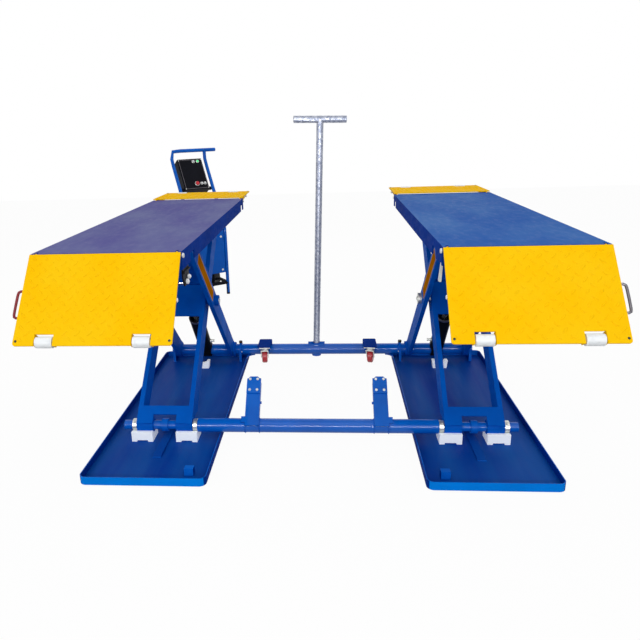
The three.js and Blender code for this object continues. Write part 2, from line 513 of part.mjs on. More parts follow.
// Channel arm on the front tube with its bolted cap, base tab and side pin
function addSyncArm(side, name, place) {
  const centre = side * SYNC_ARM.centre;
  const half = SYNC_ARM.width / 2;
  const across = [centre - half, centre + half];
  const topFace = TUBE.radius + SEAT + SYNC_ARM.web;
  const web = block(across, [-TUBE.radius / 2, SYNC_ARM.length], [topFace - SYNC_ARM.web, topFace]);
  const cheekLength = [-TUBE.radius / 2, SYNC_ARM.length - SYNC_ARM.chamfer];
  const cheekHeight = [topFace - SYNC_ARM.depth, topFace - SYNC_ARM.web / 2];
  const cheeks = [-half, half - SYNC_ARM.web].map((at) =>
    block([centre + at, centre + at + SYNC_ARM.web], cheekLength, cheekHeight));
  const capEdge = SYNC_ARM.length + SYNC_ARM.cap;
  const capShape = new THREE.Shape([
    [across[0], SYNC_ARM.capStart], [across[1], SYNC_ARM.capStart], [across[1], capEdge - SYNC_ARM.chamfer],
    [across[1] - SYNC_ARM.chamfer, capEdge], [across[0] + SYNC_ARM.chamfer, capEdge],
    [across[0], capEdge - SYNC_ARM.chamfer],
  ].map(([x, y]) => new THREE.Vector2(x, y)));
  const cap = plateZ(capShape, [topFace - SYNC_ARM.web / 2, topFace + SYNC_ARM.cap]);
  const boltRows = [SYNC_ARM.capStart + SYNC_ARM.chamfer, capEdge - SYNC_ARM.chamfer];
  const boltTop = topFace + SYNC_ARM.cap + SYNC_ARM.boltHead;
  const bolts = [-1, 1].flatMap((end) => boltRows.map((y) =>
    barZ(SYNC_ARM.bolt, centre + end * (half - SYNC_ARM.chamfer), y, [topFace, boltTop], SMALL_ROUND)));
  const tabEdge = centre + side * half;
  const tabWidth = [tabEdge - side * SYNC_ARM.web / 2, tabEdge + side * SYNC_ARM.tab];
  const tab = block(tabWidth, [0, SYNC_ARM.tabLength], [topFace - SYNC_ARM.tabThick, topFace]);
  const pinEdge = centre - side * half;
  const pin = barX(SYNC_ARM.pin, [pinEdge + side * SYNC_ARM.web / 2, pinEdge - side * SYNC_ARM.pinReach],
    SYNC_ARM.pinAt, topFace - SYNC_ARM.depth / 2, SMALL_ROUND);
  const past = OVERRUN + SYNC_ARM.tab;
  const tubeSpace = barX(TUBE.radius + SEAT, [across[0] - past, across[1] + past], 0, 0);
  addPiece(name, cut(join(web, ...cheeks, cap, ...bolts, tab, pin), tubeSpace), 'blue', place);
}

// Nylon foot blocks that carry the inner frame on the tray, two to a lift, and the lock pawl
function addFoot(side, name) {
  const place = placed(side * SCISSOR_CENTRE, FOOT_Y, PIVOT_HEIGHT);
  const low = TRAY.sheet + SEAT - PIVOT_HEIGHT;
  const top = FOOT_BLOCK.top - PIVOT_HEIGHT;
  const saddle = boreX(TUBE.radius, [-FOOT_BLOCK.far, FOOT_BLOCK.far], 0, 0);
  const places = mirroredPair(FOOT_BLOCK.near, FOOT_BLOCK.far);
  places.forEach((pair, index) => {
    const middle = (pair[0] + pair[1]) / 2;
    const body = block(pair, [-FOOT_BLOCK.half, FOOT_BLOCK.half], [low, top]);
    const notch = block([middle - FOOT_BLOCK.notchHalf, middle + FOOT_BLOCK.notchHalf],
      [-FOOT_BLOCK.half - OVERRUN, FOOT_BLOCK.half + OVERRUN], [low - OVERRUN, low + FOOT_BLOCK.notchRise]);
    addPiece(`${name}_${sidesOf(side)[index]}_foot_block`, cut(body, saddle, notch), 'nylon', place);
  });
  const tipLow = TRAY.sheet + LOCK_RACK.height + SEAT - PIVOT_HEIGHT;
  const arm = [
    [0, -PAWL.ring + PAWL.thick / 2], [0, PAWL.ring - PAWL.thick / 2],
    [PAWL.reach, tipLow + PAWL.thick], [PAWL.reach, tipLow], [PAWL.reach - PAWL.thick, tipLow],
  ].reverse();
  const pawl = join(barX(PAWL.ring, [-PAWL.half, PAWL.half], 0, 0), plateX(arm, [-PAWL.half, PAWL.half]));
  const pawlBore = boreX(FOOT_SHAFT.radius, [-PAWL.half, PAWL.half], 0, 0);
  addPiece(`${name}_lock_pawl`, cut(pawl, pawlBore), 'blue', place);
}

// Hydraulic cylinder between the rear tube and the cross bar of the inner frame
function addCylinder(side, name) {
  const eye = along(FOOT_Y, PIVOT_HEIGHT, LOWER_ARM + CYLINDER.eyeAt, LIFT_ANGLE, CYLINDER.eyeRise);
  const angle = Math.atan2(eye.z - PIVOT_HEIGHT, REAR_PIVOT_Y - eye.y);
  const base = placed(side * SCISSOR_CENTRE, REAR_PIVOT_Y, PIVOT_HEIGHT, -angle);
  const ring = barX(CYLINDER.ring, [-CYLINDER.ringHalf, CYLINDER.ringHalf], 0, 0);
  const barrel = barY(CYLINDER.barrel, 0, [-CYLINDER.length, 0], 0);
  const tubeSpace = boreX(TUBE.radius, [-CYLINDER.barrel, CYLINDER.barrel], 0, 0);
  const bore = barY(CYLINDER.bore, 0, [-CYLINDER.length - OVERRUN, -CYLINDER.ring - CYLINDER.wall], 0);
  addPiece(`${name}_cylinder_barrel`, cut(join(ring, barrel), tubeSpace, bore), 'black', base);

  const tip = placed(side * SCISSOR_CENTRE, eye.y, eye.z, -angle);
  const rodEye = barX(ROD.eye, [-ROD.eyeHalf, ROD.eyeHalf], 0, 0);
  const rod = barY(ROD.radius, 0, [0, ROD.tail], 0);
  const crossSpace = boreX(ROD.cross, [-ROD.eyeHalf, ROD.eyeHalf], 0, 0);
  addPiece(`${name}_cylinder_rod`, cut(join(rodEye, rod), crossSpace), 'chrome', tip);
}

// Deck: top sheet, side skirts notched for the cross tubes, end plates and the pivot lugs
function addDeck(side, hand) {
  const place = placed(side * LIFT_CENTRE, DECK_FRONT, DECK.restTop);
  const half = DECK.width / 2;
  const sheet = block([-half, half], [0, DECK.length], [-DECK.sheet, 0]);
  const skirts = mirroredPair(half - DECK.sheet, half).map((pair) =>
    block(pair, [0, DECK.length], [-DECK.skirt, -DECK.sheet / 2]));
  const endHalf = half - DECK.sheet - 2 * RAMP.webInset - RAMP.web;
  const ends = [[0, DECK.sheet], [DECK.length - DECK.sheet, DECK.length]].map((pair) =>
    block([-endHalf, endHalf], pair, [-DECK.skirt * DECK.endShare, -DECK.sheet / 2]));
  const tubeNotches = [LOW_FOOT_Y, REAR_PIVOT_Y].map((y) => {
    const centre = y - DECK_FRONT - LOW_DECK_SHIFT;
    const width = TUBE.radius + 2 * HEAD_BLOCK.gap;
    const lowTop = DECK.lowestTop - PIVOT_HEIGHT - TUBE.radius - DECK.notchRoom;
    const innerEdge = -side * half;
    return block([innerEdge - side * OVERRUN, innerEdge + side * (DECK.sheet + OVERRUN)],
      [centre - width, centre + width], [-DECK.skirt - OVERRUN, -lowTop]);
  });
  const pivotY = DECK_PIVOT.y - DECK_FRONT;
  const offset = side * (SCISSOR_CENTRE - LIFT_CENTRE);
  const lugFar = INNER_HALF - LEG.thick - DECK_LUG.gap;
  const outline = new THREE.Shape();
  outline.moveTo(DECK_LUG.radius, -DECK.sheet / 2);
  outline.lineTo(-DECK_LUG.radius, -DECK.sheet / 2);
  outline.absarc(0, -DECK_DROP, DECK_LUG.radius, Math.PI, 2 * Math.PI);
  const lugs = mirroredPair(lugFar - DECK_LUG.thick, lugFar).map(([from, to]) =>
    plateX(outline, [from + offset, to + offset]));
  const pins = mirroredPair(lugFar - DECK_LUG.thick / 2, INNER_HALF + STUB_PIN.washer).map(([from, to]) =>
    barX(STUB_PIN.radius, [from + offset, to + offset], pivotY, -DECK_DROP));
  const placedLugs = lugs.map((lug) => lug.translate([0, pivotY, 0]));
  const hingeBores = [RAMP.back, DECK.length - RAMP.back].map((y) =>
    boreX(RAMP_PIN.radius, [-half, half], y, -RAMP.drop, SMALL_ROUND));
  const slotReach = RAMP.back + RAMP.webNose + RAMP.slotGap;
  const webFar = half - DECK.sheet - RAMP.webInset + RAMP.slotGap;
  const slotLengths = [[-OVERRUN, slotReach], [DECK.length - slotReach, DECK.length + OVERRUN]];
  const slotWidths = mirroredPair(webFar - RAMP.web - 2 * RAMP.slotGap, webFar);
  const slots = slotLengths.flatMap((lengthwise) =>
    slotWidths.map((pair) => block(pair, lengthwise, [-DECK.sheet - OVERRUN, OVERRUN])));
  const shell = cut(join(sheet, ...skirts, ...ends), ...tubeNotches, ...hingeBores, ...slots);
  addPiece(`${hand}_deck`, join(shell, ...placedLugs, ...pins), 'deckBlue', place);

  const reach = half + SEAT;
  for (const [end, y] of [['front', RAMP.back], ['rear', DECK.length - RAMP.back]]) {
    const shank = barX(RAMP_PIN.radius, [-reach, reach], y, -RAMP.drop, SMALL_ROUND);
    const heads = mirroredPair(reach, reach + RAMP_PIN.headThick).map((pair) =>
      barX(RAMP_PIN.head, pair, y, -RAMP.drop, SMALL_ROUND));
    addPiece(`${hand}_${end}_ramp_pin`, join(shank, ...heads), 'zinc', place);
  }
}

// Ramp in its own frame: hinge on the X axis, plate running to -Y, rollers in the notches at its end
function addRamp(side, end, name, rollerName) {
  const atFront = end < 0;
  const axisY = atFront ? DECK_FRONT + RAMP.back : DECK_FRONT + DECK.length - RAMP.back;
  const slope = atFront ? THREE.MathUtils.degToRad(RAMP.slope) : 0;
  const place = placed(side * LIFT_CENTRE, axisY, DECK.restTop - RAMP.drop, slope, atFront ? 0 : Math.PI);
  const half = DECK.width / 2;
  const shape = new THREE.Shape();
  const tipY = -RAMP.length;
  shape.moveTo(half, 0);
  shape.lineTo(-half, 0);
  shape.absarc(-half + RAMP.corner, tipY + RAMP.corner, RAMP.corner, Math.PI, 1.5 * Math.PI);
  for (const [from, to] of mirroredPair(RAMP_NOTCH.near, RAMP_NOTCH.far)) {
    shape.lineTo(from, tipY);
    shape.lineTo(from, tipY + RAMP_NOTCH.depth);
    shape.lineTo(to, tipY + RAMP_NOTCH.depth);
    shape.lineTo(to, tipY);
  }
  shape.absarc(half - RAMP.corner, tipY + RAMP.corner, RAMP.corner, 1.5 * Math.PI, 2 * Math.PI);
  const under = RAMP.rise - RAMP.sheet;
  const plate = plateZ(shape, [under, RAMP.rise]);
  const webFar = half - DECK.sheet - RAMP.webInset;
  const webShape = new THREE.Shape();
  webShape.moveTo(0, RAMP.rise - RAMP.sheet / 2);
  webShape.lineTo(-RAMP.taperEnd, RAMP.rise - RAMP.sheet / 2);
  webShape.lineTo(-RAMP.taperEnd, under - RAMP.webEnd);
  webShape.lineTo(-RAMP.webDepth, -RAMP.webNose);
  webShape.absarc(0, 0, RAMP.webNose, 1.5 * Math.PI, 2.5 * Math.PI);
  const webs = mirroredPair(webFar - RAMP.web, webFar).map((pair) => plateX(webShape, pair, ARC_STEPS));
  const pinSpace = boreX(RAMP_PIN.radius, [-half, half], 0, 0, SMALL_ROUND);
  const axleHeight = RAMP.rise - ROLLER.sink;
  const notches = mirroredPair(RAMP_NOTCH.near, RAMP_NOTCH.far);
  const earLength = [-ROLLER.at - ROLLER.earAhead, -ROLLER.at + ROLLER.earBehind];
  const earHeight = [axleHeight - ROLLER.earAhead, RAMP.rise - RAMP.sheet / 2];
  const ears = notches.flatMap(([from, to]) => [from - ROLLER.ear, to].map((at) =>
    block([at, at + ROLLER.ear], earLength, earHeight)));
  const axleEnd = RAMP_NOTCH.far + 2 * ROLLER.ear;
  const axleSpace = boreX(ROLLER.axle, [-axleEnd, axleEnd], -ROLLER.at, axleHeight, SMALL_ROUND);
  addPiece(name, cut(join(plate, ...webs, ...ears), pinSpace, axleSpace), 'yellow', place);

  const rollers = notches.map(([from, to]) =>
    barX(ROLLER.radius, [from + ROLLER.gap, to - ROLLER.gap], -ROLLER.at, axleHeight));
  const axle = barX(ROLLER.axle, [-axleEnd, axleEnd], -ROLLER.at, axleHeight, SMALL_ROUND);
  addPiece(rollerName, join(axle, ...rollers), 'nylon', place);

  if (end < 0) {
    const edge = side * (half - SIDE_HANDLE.rod);
    const out = side * (half + SIDE_HANDLE.reach);
    const height = RAMP.rise - RAMP.sheet - SIDE_HANDLE.rod - SEAT;
    const { start: first, end: last } = SIDE_HANDLE;
    const points = [[edge, first], [out, first], [out, last], [edge, last]];
    const route = points.map(([x, at]) => new THREE.Vector3(x, -at, height));
    const rod = bentRod(route, SIDE_HANDLE.rod, SIDE_HANDLE.foot, SMALL_ROUND);
    addPiece(`${name.replace('front_ramp', 'ramp_handle')}`, rod, 'steel', place);
  }
}

// Pump trolley: bent tube frame, oil housing, motor, control box and wheels, turned on the floor
function addTrolley() {
  const turn = THREE.MathUtils.degToRad(TROLLEY.turn);
  const right = new THREE.Vector3(Math.cos(turn), Math.sin(turn), 0).multiplyScalar(-TROLLEY.half);
  const place = placed(TROLLEY.x + right.x, TROLLEY.y + right.y, 0, 0, turn);
  const lean = Math.tan(THREE.MathUtils.degToRad(TROLLEY.leanAngle));
  const leanBack = (TROLLEY.leanTop - TROLLEY.kneeHeight) * lean;
  const post = (x) => [
    new THREE.Vector3(x, 0, 0), new THREE.Vector3(x, 0, TROLLEY.kneeHeight),
    new THREE.Vector3(x, leanBack, TROLLEY.leanTop),
  ];
  const crown = TROLLEY.top;
  const grip = bentRod([
    ...post(-TROLLEY.half), new THREE.Vector3(-TROLLEY.half, leanBack, crown),
    new THREE.Vector3(TROLLEY.half + TROLLEY.overhang, leanBack, crown),
  ], TROLLEY.tube, TROLLEY.bend, SMALL_ROUND);
  const rightPost = bentRod([
    ...post(TROLLEY.half), new THREE.Vector3(TROLLEY.half, leanBack, crown),
  ], TROLLEY.tube, TROLLEY.bend, SMALL_ROUND);
  const bars = [-1, 1].map((side) =>
    barY(TROLLEY.tube, side * TROLLEY.half, [0, TROLLEY.depth], TROLLEY.baseHeight, SMALL_ROUND));
  const crossbars = [
    barX(TROLLEY.tube, [-TROLLEY.half, TROLLEY.half], 0, TROLLEY.baseHeight, SMALL_ROUND),
    barX(TROLLEY.tube, [-TROLLEY.half, TROLLEY.half], TROLLEY.depth / 2, TROLLEY.baseHeight, SMALL_ROUND),
  ];
  const wheelFar = TROLLEY.half + TROLLEY.tube + TROLLEY_WHEEL.gap + TROLLEY_WHEEL.width;
  const axle = barX(TROLLEY_WHEEL.axle, [-wheelFar - TROLLEY_WHEEL.gap, wheelFar + TROLLEY_WHEEL.gap],
    TROLLEY.depth, TROLLEY_WHEEL.radius);
  const pads = [-1, 1].map((side) =>
    barZ(TROLLEY.tube + SEAT, side * TROLLEY.half, 0, [0, TROLLEY.tube], SMALL_ROUND));
  addPiece('trolley_frame', join(grip, rightPost, ...bars, ...crossbars, axle, ...pads), 'blue', place);

  for (const [side, name] of [[-1, 'trolley_left_wheel'], [1, 'trolley_right_wheel']]) {
    const near = side * (wheelFar - TROLLEY_WHEEL.width);
    const tyre = barX(TROLLEY_WHEEL.radius, [near, side * wheelFar], TROLLEY.depth, TROLLEY_WHEEL.radius);
    const bore = boreX(TROLLEY_WHEEL.axle, [near, side * wheelFar], TROLLEY.depth, TROLLEY_WHEEL.radius);
    addPiece(name, cut(tyre, bore), 'tyre', place);
  }

  const inside = TROLLEY.half - TROLLEY.tube - HOUSING.inset;
  const section = roundedRectangle([-inside, inside], [-TROLLEY.tube, HOUSING.depth], HOUSING.corner);
  const housing = plateZ(section, [HOUSING.bottom, HOUSING.top], ARC_STEPS);
  addPiece('trolley_housing', housing, 'blue', place);
  const motorHigh = HOUSING.bottom - SEAT;
  const motorBack = TROLLEY.depth / 2 - TROLLEY.tube - SEAT;
  const motor = barZ(MOTOR.radius, 0, motorBack - SEAT - MOTOR.radius, [MOTOR.bottom, motorHigh]);
  addPiece('trolley_motor', motor, 'black', place);
  addControlBox(place, lean);
}

// Control box between the leaning tubes, with its lamp, switch and buttons on the front face
function addControlBox(place, lean) {
  const slope = Math.atan(lean);
  const topBack = (CONTROL.top - TROLLEY.kneeHeight) * lean;
  const box = placed(0, topBack, CONTROL.top, -slope, 0, place);
  const half = CONTROL.width / 2;
  const depth = [-CONTROL.front, CONTROL.depth - CONTROL.front];
  const section = roundedRectangle([-half, half], depth, CONTROL.corner);
  const body = plateZ(section, [-CONTROL.height, 0], ARC_STEPS);
  const face = -CONTROL.front;
  const at = (column, row) => ({ x: PANEL_COLUMNS[column], z: -PANEL_ROWS[row] });
  const spots = {
    raise_button: { ...at('raise', 'bottom'), tool: BUTTON },
    lower_button: { ...at('lower', 'bottom'), tool: BUTTON },
    stop_button: { ...at('stop', 'bottom'), tool: STOP_BUTTON },
    power_switch: { ...at('power', 'top'), tool: BUTTON },
  };
  const stemRadius = BUTTON.stem;
  const holes = Object.values(spots).map(({ x, z }) =>
    barY(stemRadius + RUN, x, [face - OVERRUN, face + 2 * OVERRUN + BUTTON.travel], z, SMALL_ROUND));
  const tubes = [-1, 1].map((side) => block(
    [side * (half - SEAT), side * (TROLLEY.half - TROLLEY.tube - SEAT)],
    [0, TROLLEY.tube], [-CONTROL.height, -CONTROL.height + CONTROL.bracket]));
  addPiece('control_box', join(cut(body, ...holes), ...tubes), 'black', box);
  const colours = { raise_button: 'white', lower_button: 'white', stop_button: 'red', power_switch: 'white' };
  for (const [name, { x, z, tool }] of Object.entries(spots)) {
    const proud = BUTTON.travel + SEAT;
    const headFace = face - proud;
    const head = barY(tool.radius, x, [headFace - tool.height, headFace], z, SMALL_ROUND);
    const stem = barY(stemRadius, x, [headFace - tool.height / 2, face + 2 * OVERRUN - RUN], z, SMALL_ROUND);
    addPiece(name, join(head, stem), colours[name], box);
  }
  const lamp = at('lamp', 'top');
  const lens = barY(LAMP.radius, lamp.x, [face - SEAT - LAMP.height, face - SEAT], lamp.z, SMALL_ROUND);
  addPiece('power_lamp', lens, 'green', box);
}

for (const [side, hand] of [[-1, 'left'], [1, 'right']]) {
  addTray(side, `${hand}_tray`);
  addLockPin(side, `${hand}_lock_pin`);
  addOuterFrame(side, `${hand}_outer_frame`);
  addInnerFrame(side, `${hand}_inner_frame`);
  addHeadBlocks(side, hand);
  addFoot(side, hand);
  addCylinder(side, hand);
  addDeck(side, hand);
  addRamp(side, -1, `${hand}_front_ramp`, `${hand}_front_rollers`);
  addRamp(side, 1, `${hand}_rear_ramp`, `${hand}_rear_rollers`);
}
addRearTube();
addCastor(CASTOR.left, CASTOR.leftTurn, 'left_castor');
addCastor(CASTOR.right, CASTOR.rightTurn, 'right_castor');
addSyncTube();
addTrolley();

// The origin lies on the floor under the middle of the whole object
const model = new THREE.Group();
model.add(lift);
lift.updateMatrixWorld(true);
const bounds = new THREE.Box3().setFromObject(lift, true);
lift.position.set(-(bounds.min.x + bounds.max.x) / 2, -(bounds.min.y + bounds.max.y) / 2, 0);

export default model;
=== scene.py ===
import json
import math

import bmesh
import bpy
from mathutils import Matrix, Vector


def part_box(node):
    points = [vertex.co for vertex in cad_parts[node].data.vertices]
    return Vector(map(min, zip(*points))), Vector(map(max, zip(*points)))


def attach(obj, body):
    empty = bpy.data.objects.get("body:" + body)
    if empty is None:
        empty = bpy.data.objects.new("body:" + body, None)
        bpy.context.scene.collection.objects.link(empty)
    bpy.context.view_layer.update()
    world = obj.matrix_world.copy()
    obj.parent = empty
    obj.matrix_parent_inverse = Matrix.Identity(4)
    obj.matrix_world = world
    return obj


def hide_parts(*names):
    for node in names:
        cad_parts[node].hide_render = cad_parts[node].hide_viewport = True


# The finish of a portable scissor car lift: painted steel decks, frames and trays, yellow tread ramps,
# nylon blocks and rollers, zinc hardware and a pump trolley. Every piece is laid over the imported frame.
# Lengths are in millimetres in the lift's own axes: x to the right of its middle, y back from the front
# edge of its trays and z up from the floor.

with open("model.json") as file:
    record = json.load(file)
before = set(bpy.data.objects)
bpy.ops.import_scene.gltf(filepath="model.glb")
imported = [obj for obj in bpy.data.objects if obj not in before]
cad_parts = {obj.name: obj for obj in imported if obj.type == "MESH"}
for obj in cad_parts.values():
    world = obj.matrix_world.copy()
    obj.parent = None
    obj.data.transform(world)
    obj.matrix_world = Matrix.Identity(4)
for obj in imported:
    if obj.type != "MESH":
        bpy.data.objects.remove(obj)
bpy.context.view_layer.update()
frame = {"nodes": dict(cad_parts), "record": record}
nodes = frame["nodes"]
node_body = {node: body for body, group in frame["record"]["behaviour"]["bodies"].items() for node in group}
node_slot = {part["node"]: part["material_slot"] for part in frame["record"]["subparts"]}

MM = 0.001
SIDES = ((-1, "left"), (1, "right"))

# Sizes of the object, as its solids have them
LIFT_CENTRE = 660
SCISSOR_CENTRE = 655
REAR_PIVOT_Y = 1330
PIVOT_HEIGHT = 66
DECK_TOP = 920
DECK_DROP = 42
DECK_FRONT = -93
DECK_WIDTH = 500
DECK_LENGTH = 1500
LOWER_ARM = 640
ARM = 1216
OUTER_HALF = 162
TUBE_RADIUS = 30
SHAFT_RADIUS = 20
RAMP = {"length": 315, "rise": 22, "back": 9, "drop": 14, "slope": 50.4}
RAMP_NOTCH = {"near": 123, "far": 183, "depth": 38}
COLLARS = {"spans": ((511.5, 532.5), (777.5, 798.5)), "rise": 0.5}
TROLLEY = {"x": -763, "y": 2827, "turn": 35, "half": 140, "tube": 14, "knee": 540, "lean": 30,
           "base_top": 125}
CONTROL = {"top": 1056, "front": 20}
HOUSING = {"bottom": 184, "top": 545, "half": 96}
MOTOR = {"radius": 58, "bottom": 66, "top": 183, "back": 92.4, "ribs": 30, "rib_out": 1.5,
         "rib": (5, 2.6, 84)}
CYLINDER = {"angle": 50.83, "radius": 38, "length": 340}

LIFT_ANGLE = math.asin((DECK_TOP - PIVOT_HEIGHT - DECK_DROP) / ARM)
FOOT_Y = REAR_PIVOT_Y - 2 * LOWER_ARM * math.cos(LIFT_ANGLE)

# Where the lift's own middle and front edge lie in the frame, in metres
low_tray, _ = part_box("left_tray")
low_tube, high_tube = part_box("rear_tube")
MIDDLE = (low_tube.x + high_tube.x) / 2
FRONT = low_tray.y


def spot(x, y, z):
    """A point given in millimetres from the middle of the lift, the front of its trays and the floor."""
    return Vector((MIDDLE + x * MM, FRONT + y * MM, z * MM))


def place(x, y, z, about_x=0.0, about_z=0.0):
    """A matrix from millimetres in a turned part to metres in the frame."""
    turn = Matrix.Rotation(about_z, 4, "Z") @ Matrix.Rotation(about_x, 4, "X")
    return Matrix.Translation(spot(x, y, z)) @ turn @ Matrix.Scale(MM, 4)


def inner_leg_place(side):
    """The inner frame's own axes: y along its legs from the foot shaft."""
    return place(side * SCISSOR_CENTRE, FOOT_Y, PIVOT_HEIGHT, LIFT_ANGLE)


def outer_leg_place(side):
    """The outer frame's own axes: y along its legs, which run forwards from the rear pivot."""
    return place(side * SCISSOR_CENTRE, REAR_PIVOT_Y, PIVOT_HEIGHT, -LIFT_ANGLE)


def ramp_place(side, end):
    """A ramp's own axes: y towards its hinge, z out of its tread."""
    y = DECK_FRONT + RAMP["back"] if end == "front" else DECK_FRONT + DECK_LENGTH - RAMP["back"]
    slope = math.radians(RAMP["slope"]) if end == "front" else 0.0
    turn = 0.0 if end == "front" else math.pi
    return place(side * LIFT_CENTRE, y, DECK_TOP - RAMP["drop"], slope, turn)


def moved(matrix, x, y, z):
    return matrix @ Matrix.Translation((x, y, z))


def facing(matrix, origin, direction):
    """The same part turned so that its local z leaves the origin along a direction."""
    turn = Vector(direction).to_track_quat("Z", "Y").to_matrix().to_4x4()
    return matrix @ Matrix.Translation(origin) @ turn


def crosswise(x):
    """Outlines drawn in y and z of the lift, thick along x."""
    cycle = Matrix(((0, 0, 1, 0), (1, 0, 0, 0), (0, 1, 0, 0), (0, 0, 0, 1)))
    return place(x, 0, 0) @ cycle


SYNC_PLACE = place(0, FOOT_Y, PIVOT_HEIGHT, LIFT_ANGLE)
TURN = math.radians(TROLLEY["turn"])
TROLLEY_PLACE = place(TROLLEY["x"] - TROLLEY["half"] * math.cos(TURN),
                      TROLLEY["y"] - TROLLEY["half"] * math.sin(TURN), 0, 0, TURN)
LEAN = math.radians(TROLLEY["lean"])
CONTROL_PLACE = moved(TROLLEY_PLACE, 0, (CONTROL["top"] - TROLLEY["knee"]) * math.tan(LEAN),
                      CONTROL["top"]) @ Matrix.Rotation(-LEAN, 4, "X")


def cylinder_place(side):
    """A cylinder's own axes: y along it, from its lower pivot."""
    return place(side * SCISSOR_CENTRE, REAR_PIVOT_Y, PIVOT_HEIGHT, -math.radians(CYLINDER["angle"]))


# Camera, fitted to the photograph
CAMERA = {"x": 62.2, "y": -2013.5, "z": 1292.5, "pitch": -0.3036, "yaw": -0.091, "roll": 0.0353}
FOCAL_PIXELS = 619.1
FRAME_PIXELS = 640
OPTICAL_AXIS_X = 276.2
SENSOR = 36.0
FARTHEST_SEEN = 50


def make_camera():
    """The photograph's camera: where it stood, how it was turned and how long its lens was."""
    pitch, yaw, roll = CAMERA["pitch"], CAMERA["yaw"], CAMERA["roll"]
    level = Matrix(((1, 0, 0), (0, 0, -1), (0, 1, 0)))
    turn_yaw = Matrix(((math.cos(yaw), 0, -math.sin(yaw)), (0, 1, 0), (math.sin(yaw), 0, math.cos(yaw))))
    turn_pitch = Matrix(((1, 0, 0), (0, math.cos(pitch), math.sin(pitch)),
                         (0, -math.sin(pitch), math.cos(pitch))))
    turn_roll = Matrix(((math.cos(roll), math.sin(roll), 0), (-math.sin(roll), math.cos(roll), 0), (0, 0, 1)))
    right, down, forward = turn_roll @ turn_pitch @ turn_yaw @ level
    lens = bpy.data.cameras.new("photo_camera")
    lens.sensor_width = SENSOR
    lens.lens = FOCAL_PIXELS / FRAME_PIXELS * SENSOR
    lens.shift_x = (FRAME_PIXELS / 2 - OPTICAL_AXIS_X) / FRAME_PIXELS
    lens.clip_end = FARTHEST_SEEN
    camera = bpy.data.objects.new("photo_camera", lens)
    axes = Matrix((right, -down, -forward)).transposed().to_4x4()
    camera.matrix_world = Matrix.Translation(spot(CAMERA["x"], CAMERA["y"], CAMERA["z"])) @ axes
    bpy.context.scene.collection.objects.link(camera)
    bpy.context.scene.camera = camera


# Materials


def linear(hex_colour):
    """An sRGB hex value as the linear colour that Blender's sockets take."""
    parts = [int(hex_colour[i:i + 2], 16) / 255 for i in (1, 3, 5)]
    return [*(c / 12.92 if c <= 0.04045 else ((c + 0.055) / 1.055) ** 2.4 for c in parts), 1.0]


def put(tree, kind, links=None, **settings):
    """Adds a node; links maps an input's name or number to a value or to another node's output."""
    node = tree.nodes.new(kind)
    for name, value in settings.items():
        setattr(node, name, value)
    for name, value in (links or {}).items():
        if isinstance(value, bpy.types.NodeSocket):
            tree.links.new(value, node.inputs[name])
        else:
            node.inputs[name].default_value = value
    return node


def new_material(name):
    material = bpy.data.materials.new(name)
    material.use_nodes = True
    material.node_tree.nodes.clear()
    return material, material.node_tree


def finish_surface(tree, shader):
    put(tree, "ShaderNodeOutputMaterial", {"Surface": shader.outputs[0]})


def size_scale(millimetres):
    """The texture scale at which one feature of a noise is that wide."""
    return 1 / (millimetres * MM)


# The numbers of a colour mix's two inputs and of its result
MIX_FIRST, MIX_SECOND, MIX_RESULT = 6, 7, 2
DUST = "#9fb2cc"


def sprayed_paint(name, colour, shade, roughness, coat=0.2, grime=0.06, streaks=(1, 1, 1), shine=0.12):
    """Sprayed enamel on steel: an even coat, faint orange peel, slow changes of tone, fine dust and rubs.

    The tone drifts over a hand's breadth and a rub is a finger wide. Orange peel is about a millimetre across
    on the real one, and is drawn three wide so that it shows.
    """
    material, tree = new_material(name)
    where = put(tree, "ShaderNodeTexCoord").outputs["Object"]
    along = put(tree, "ShaderNodeMapping", {"Vector": where, "Scale": streaks}).outputs[0]
    clouds = put(tree, "ShaderNodeTexNoise", {"Vector": along, "Scale": size_scale(160), "Detail": 3.0})
    rubs = put(tree, "ShaderNodeTexNoise", {"Vector": along, "Scale": size_scale(22), "Detail": 6.0,
                                            "Roughness": 0.7})
    peel = put(tree, "ShaderNodeTexNoise", {"Vector": where, "Scale": size_scale(3), "Detail": 2.0})
    tone = put(tree, "ShaderNodeMapRange", {"Value": clouds.outputs["Fac"], "From Min": 0.35,
                                            "From Max": 0.7})
    coat_colour = put(tree, "ShaderNodeMix", {
        "Factor": tone.outputs[0], MIX_FIRST: linear(colour), MIX_SECOND: linear(shade)}, data_type="RGBA")
    worn = put(tree, "ShaderNodeMapRange", {"Value": rubs.outputs["Fac"], "From Min": 0.55, "From Max": 0.8,
                                            "To Max": grime})
    dusty = put(tree, "ShaderNodeMix", {
        "Factor": worn.outputs[0], MIX_FIRST: coat_colour.outputs[MIX_RESULT], MIX_SECOND: linear(DUST)},
        data_type="RGBA")
    gloss = put(tree, "ShaderNodeMapRange", {"Value": rubs.outputs["Fac"], "From Min": 0.3, "From Max": 0.75,
                                             "To Min": roughness * 0.8, "To Max": roughness * 1.35})
    bump = put(tree, "ShaderNodeBump", {"Height": peel.outputs["Fac"], "Strength": 0.06, "Distance": 0.0006})
    shader = put(tree, "ShaderNodeBsdfPrincipled", {
        "Base Color": dusty.outputs[MIX_RESULT], "Roughness": gloss.outputs[0], "Normal": bump.outputs[0],
        "Coat Weight": coat, "Coat Roughness": 0.05, "Specular IOR Level": shine, "IOR": 1.5})
    finish_surface(tree, shader)
    return material


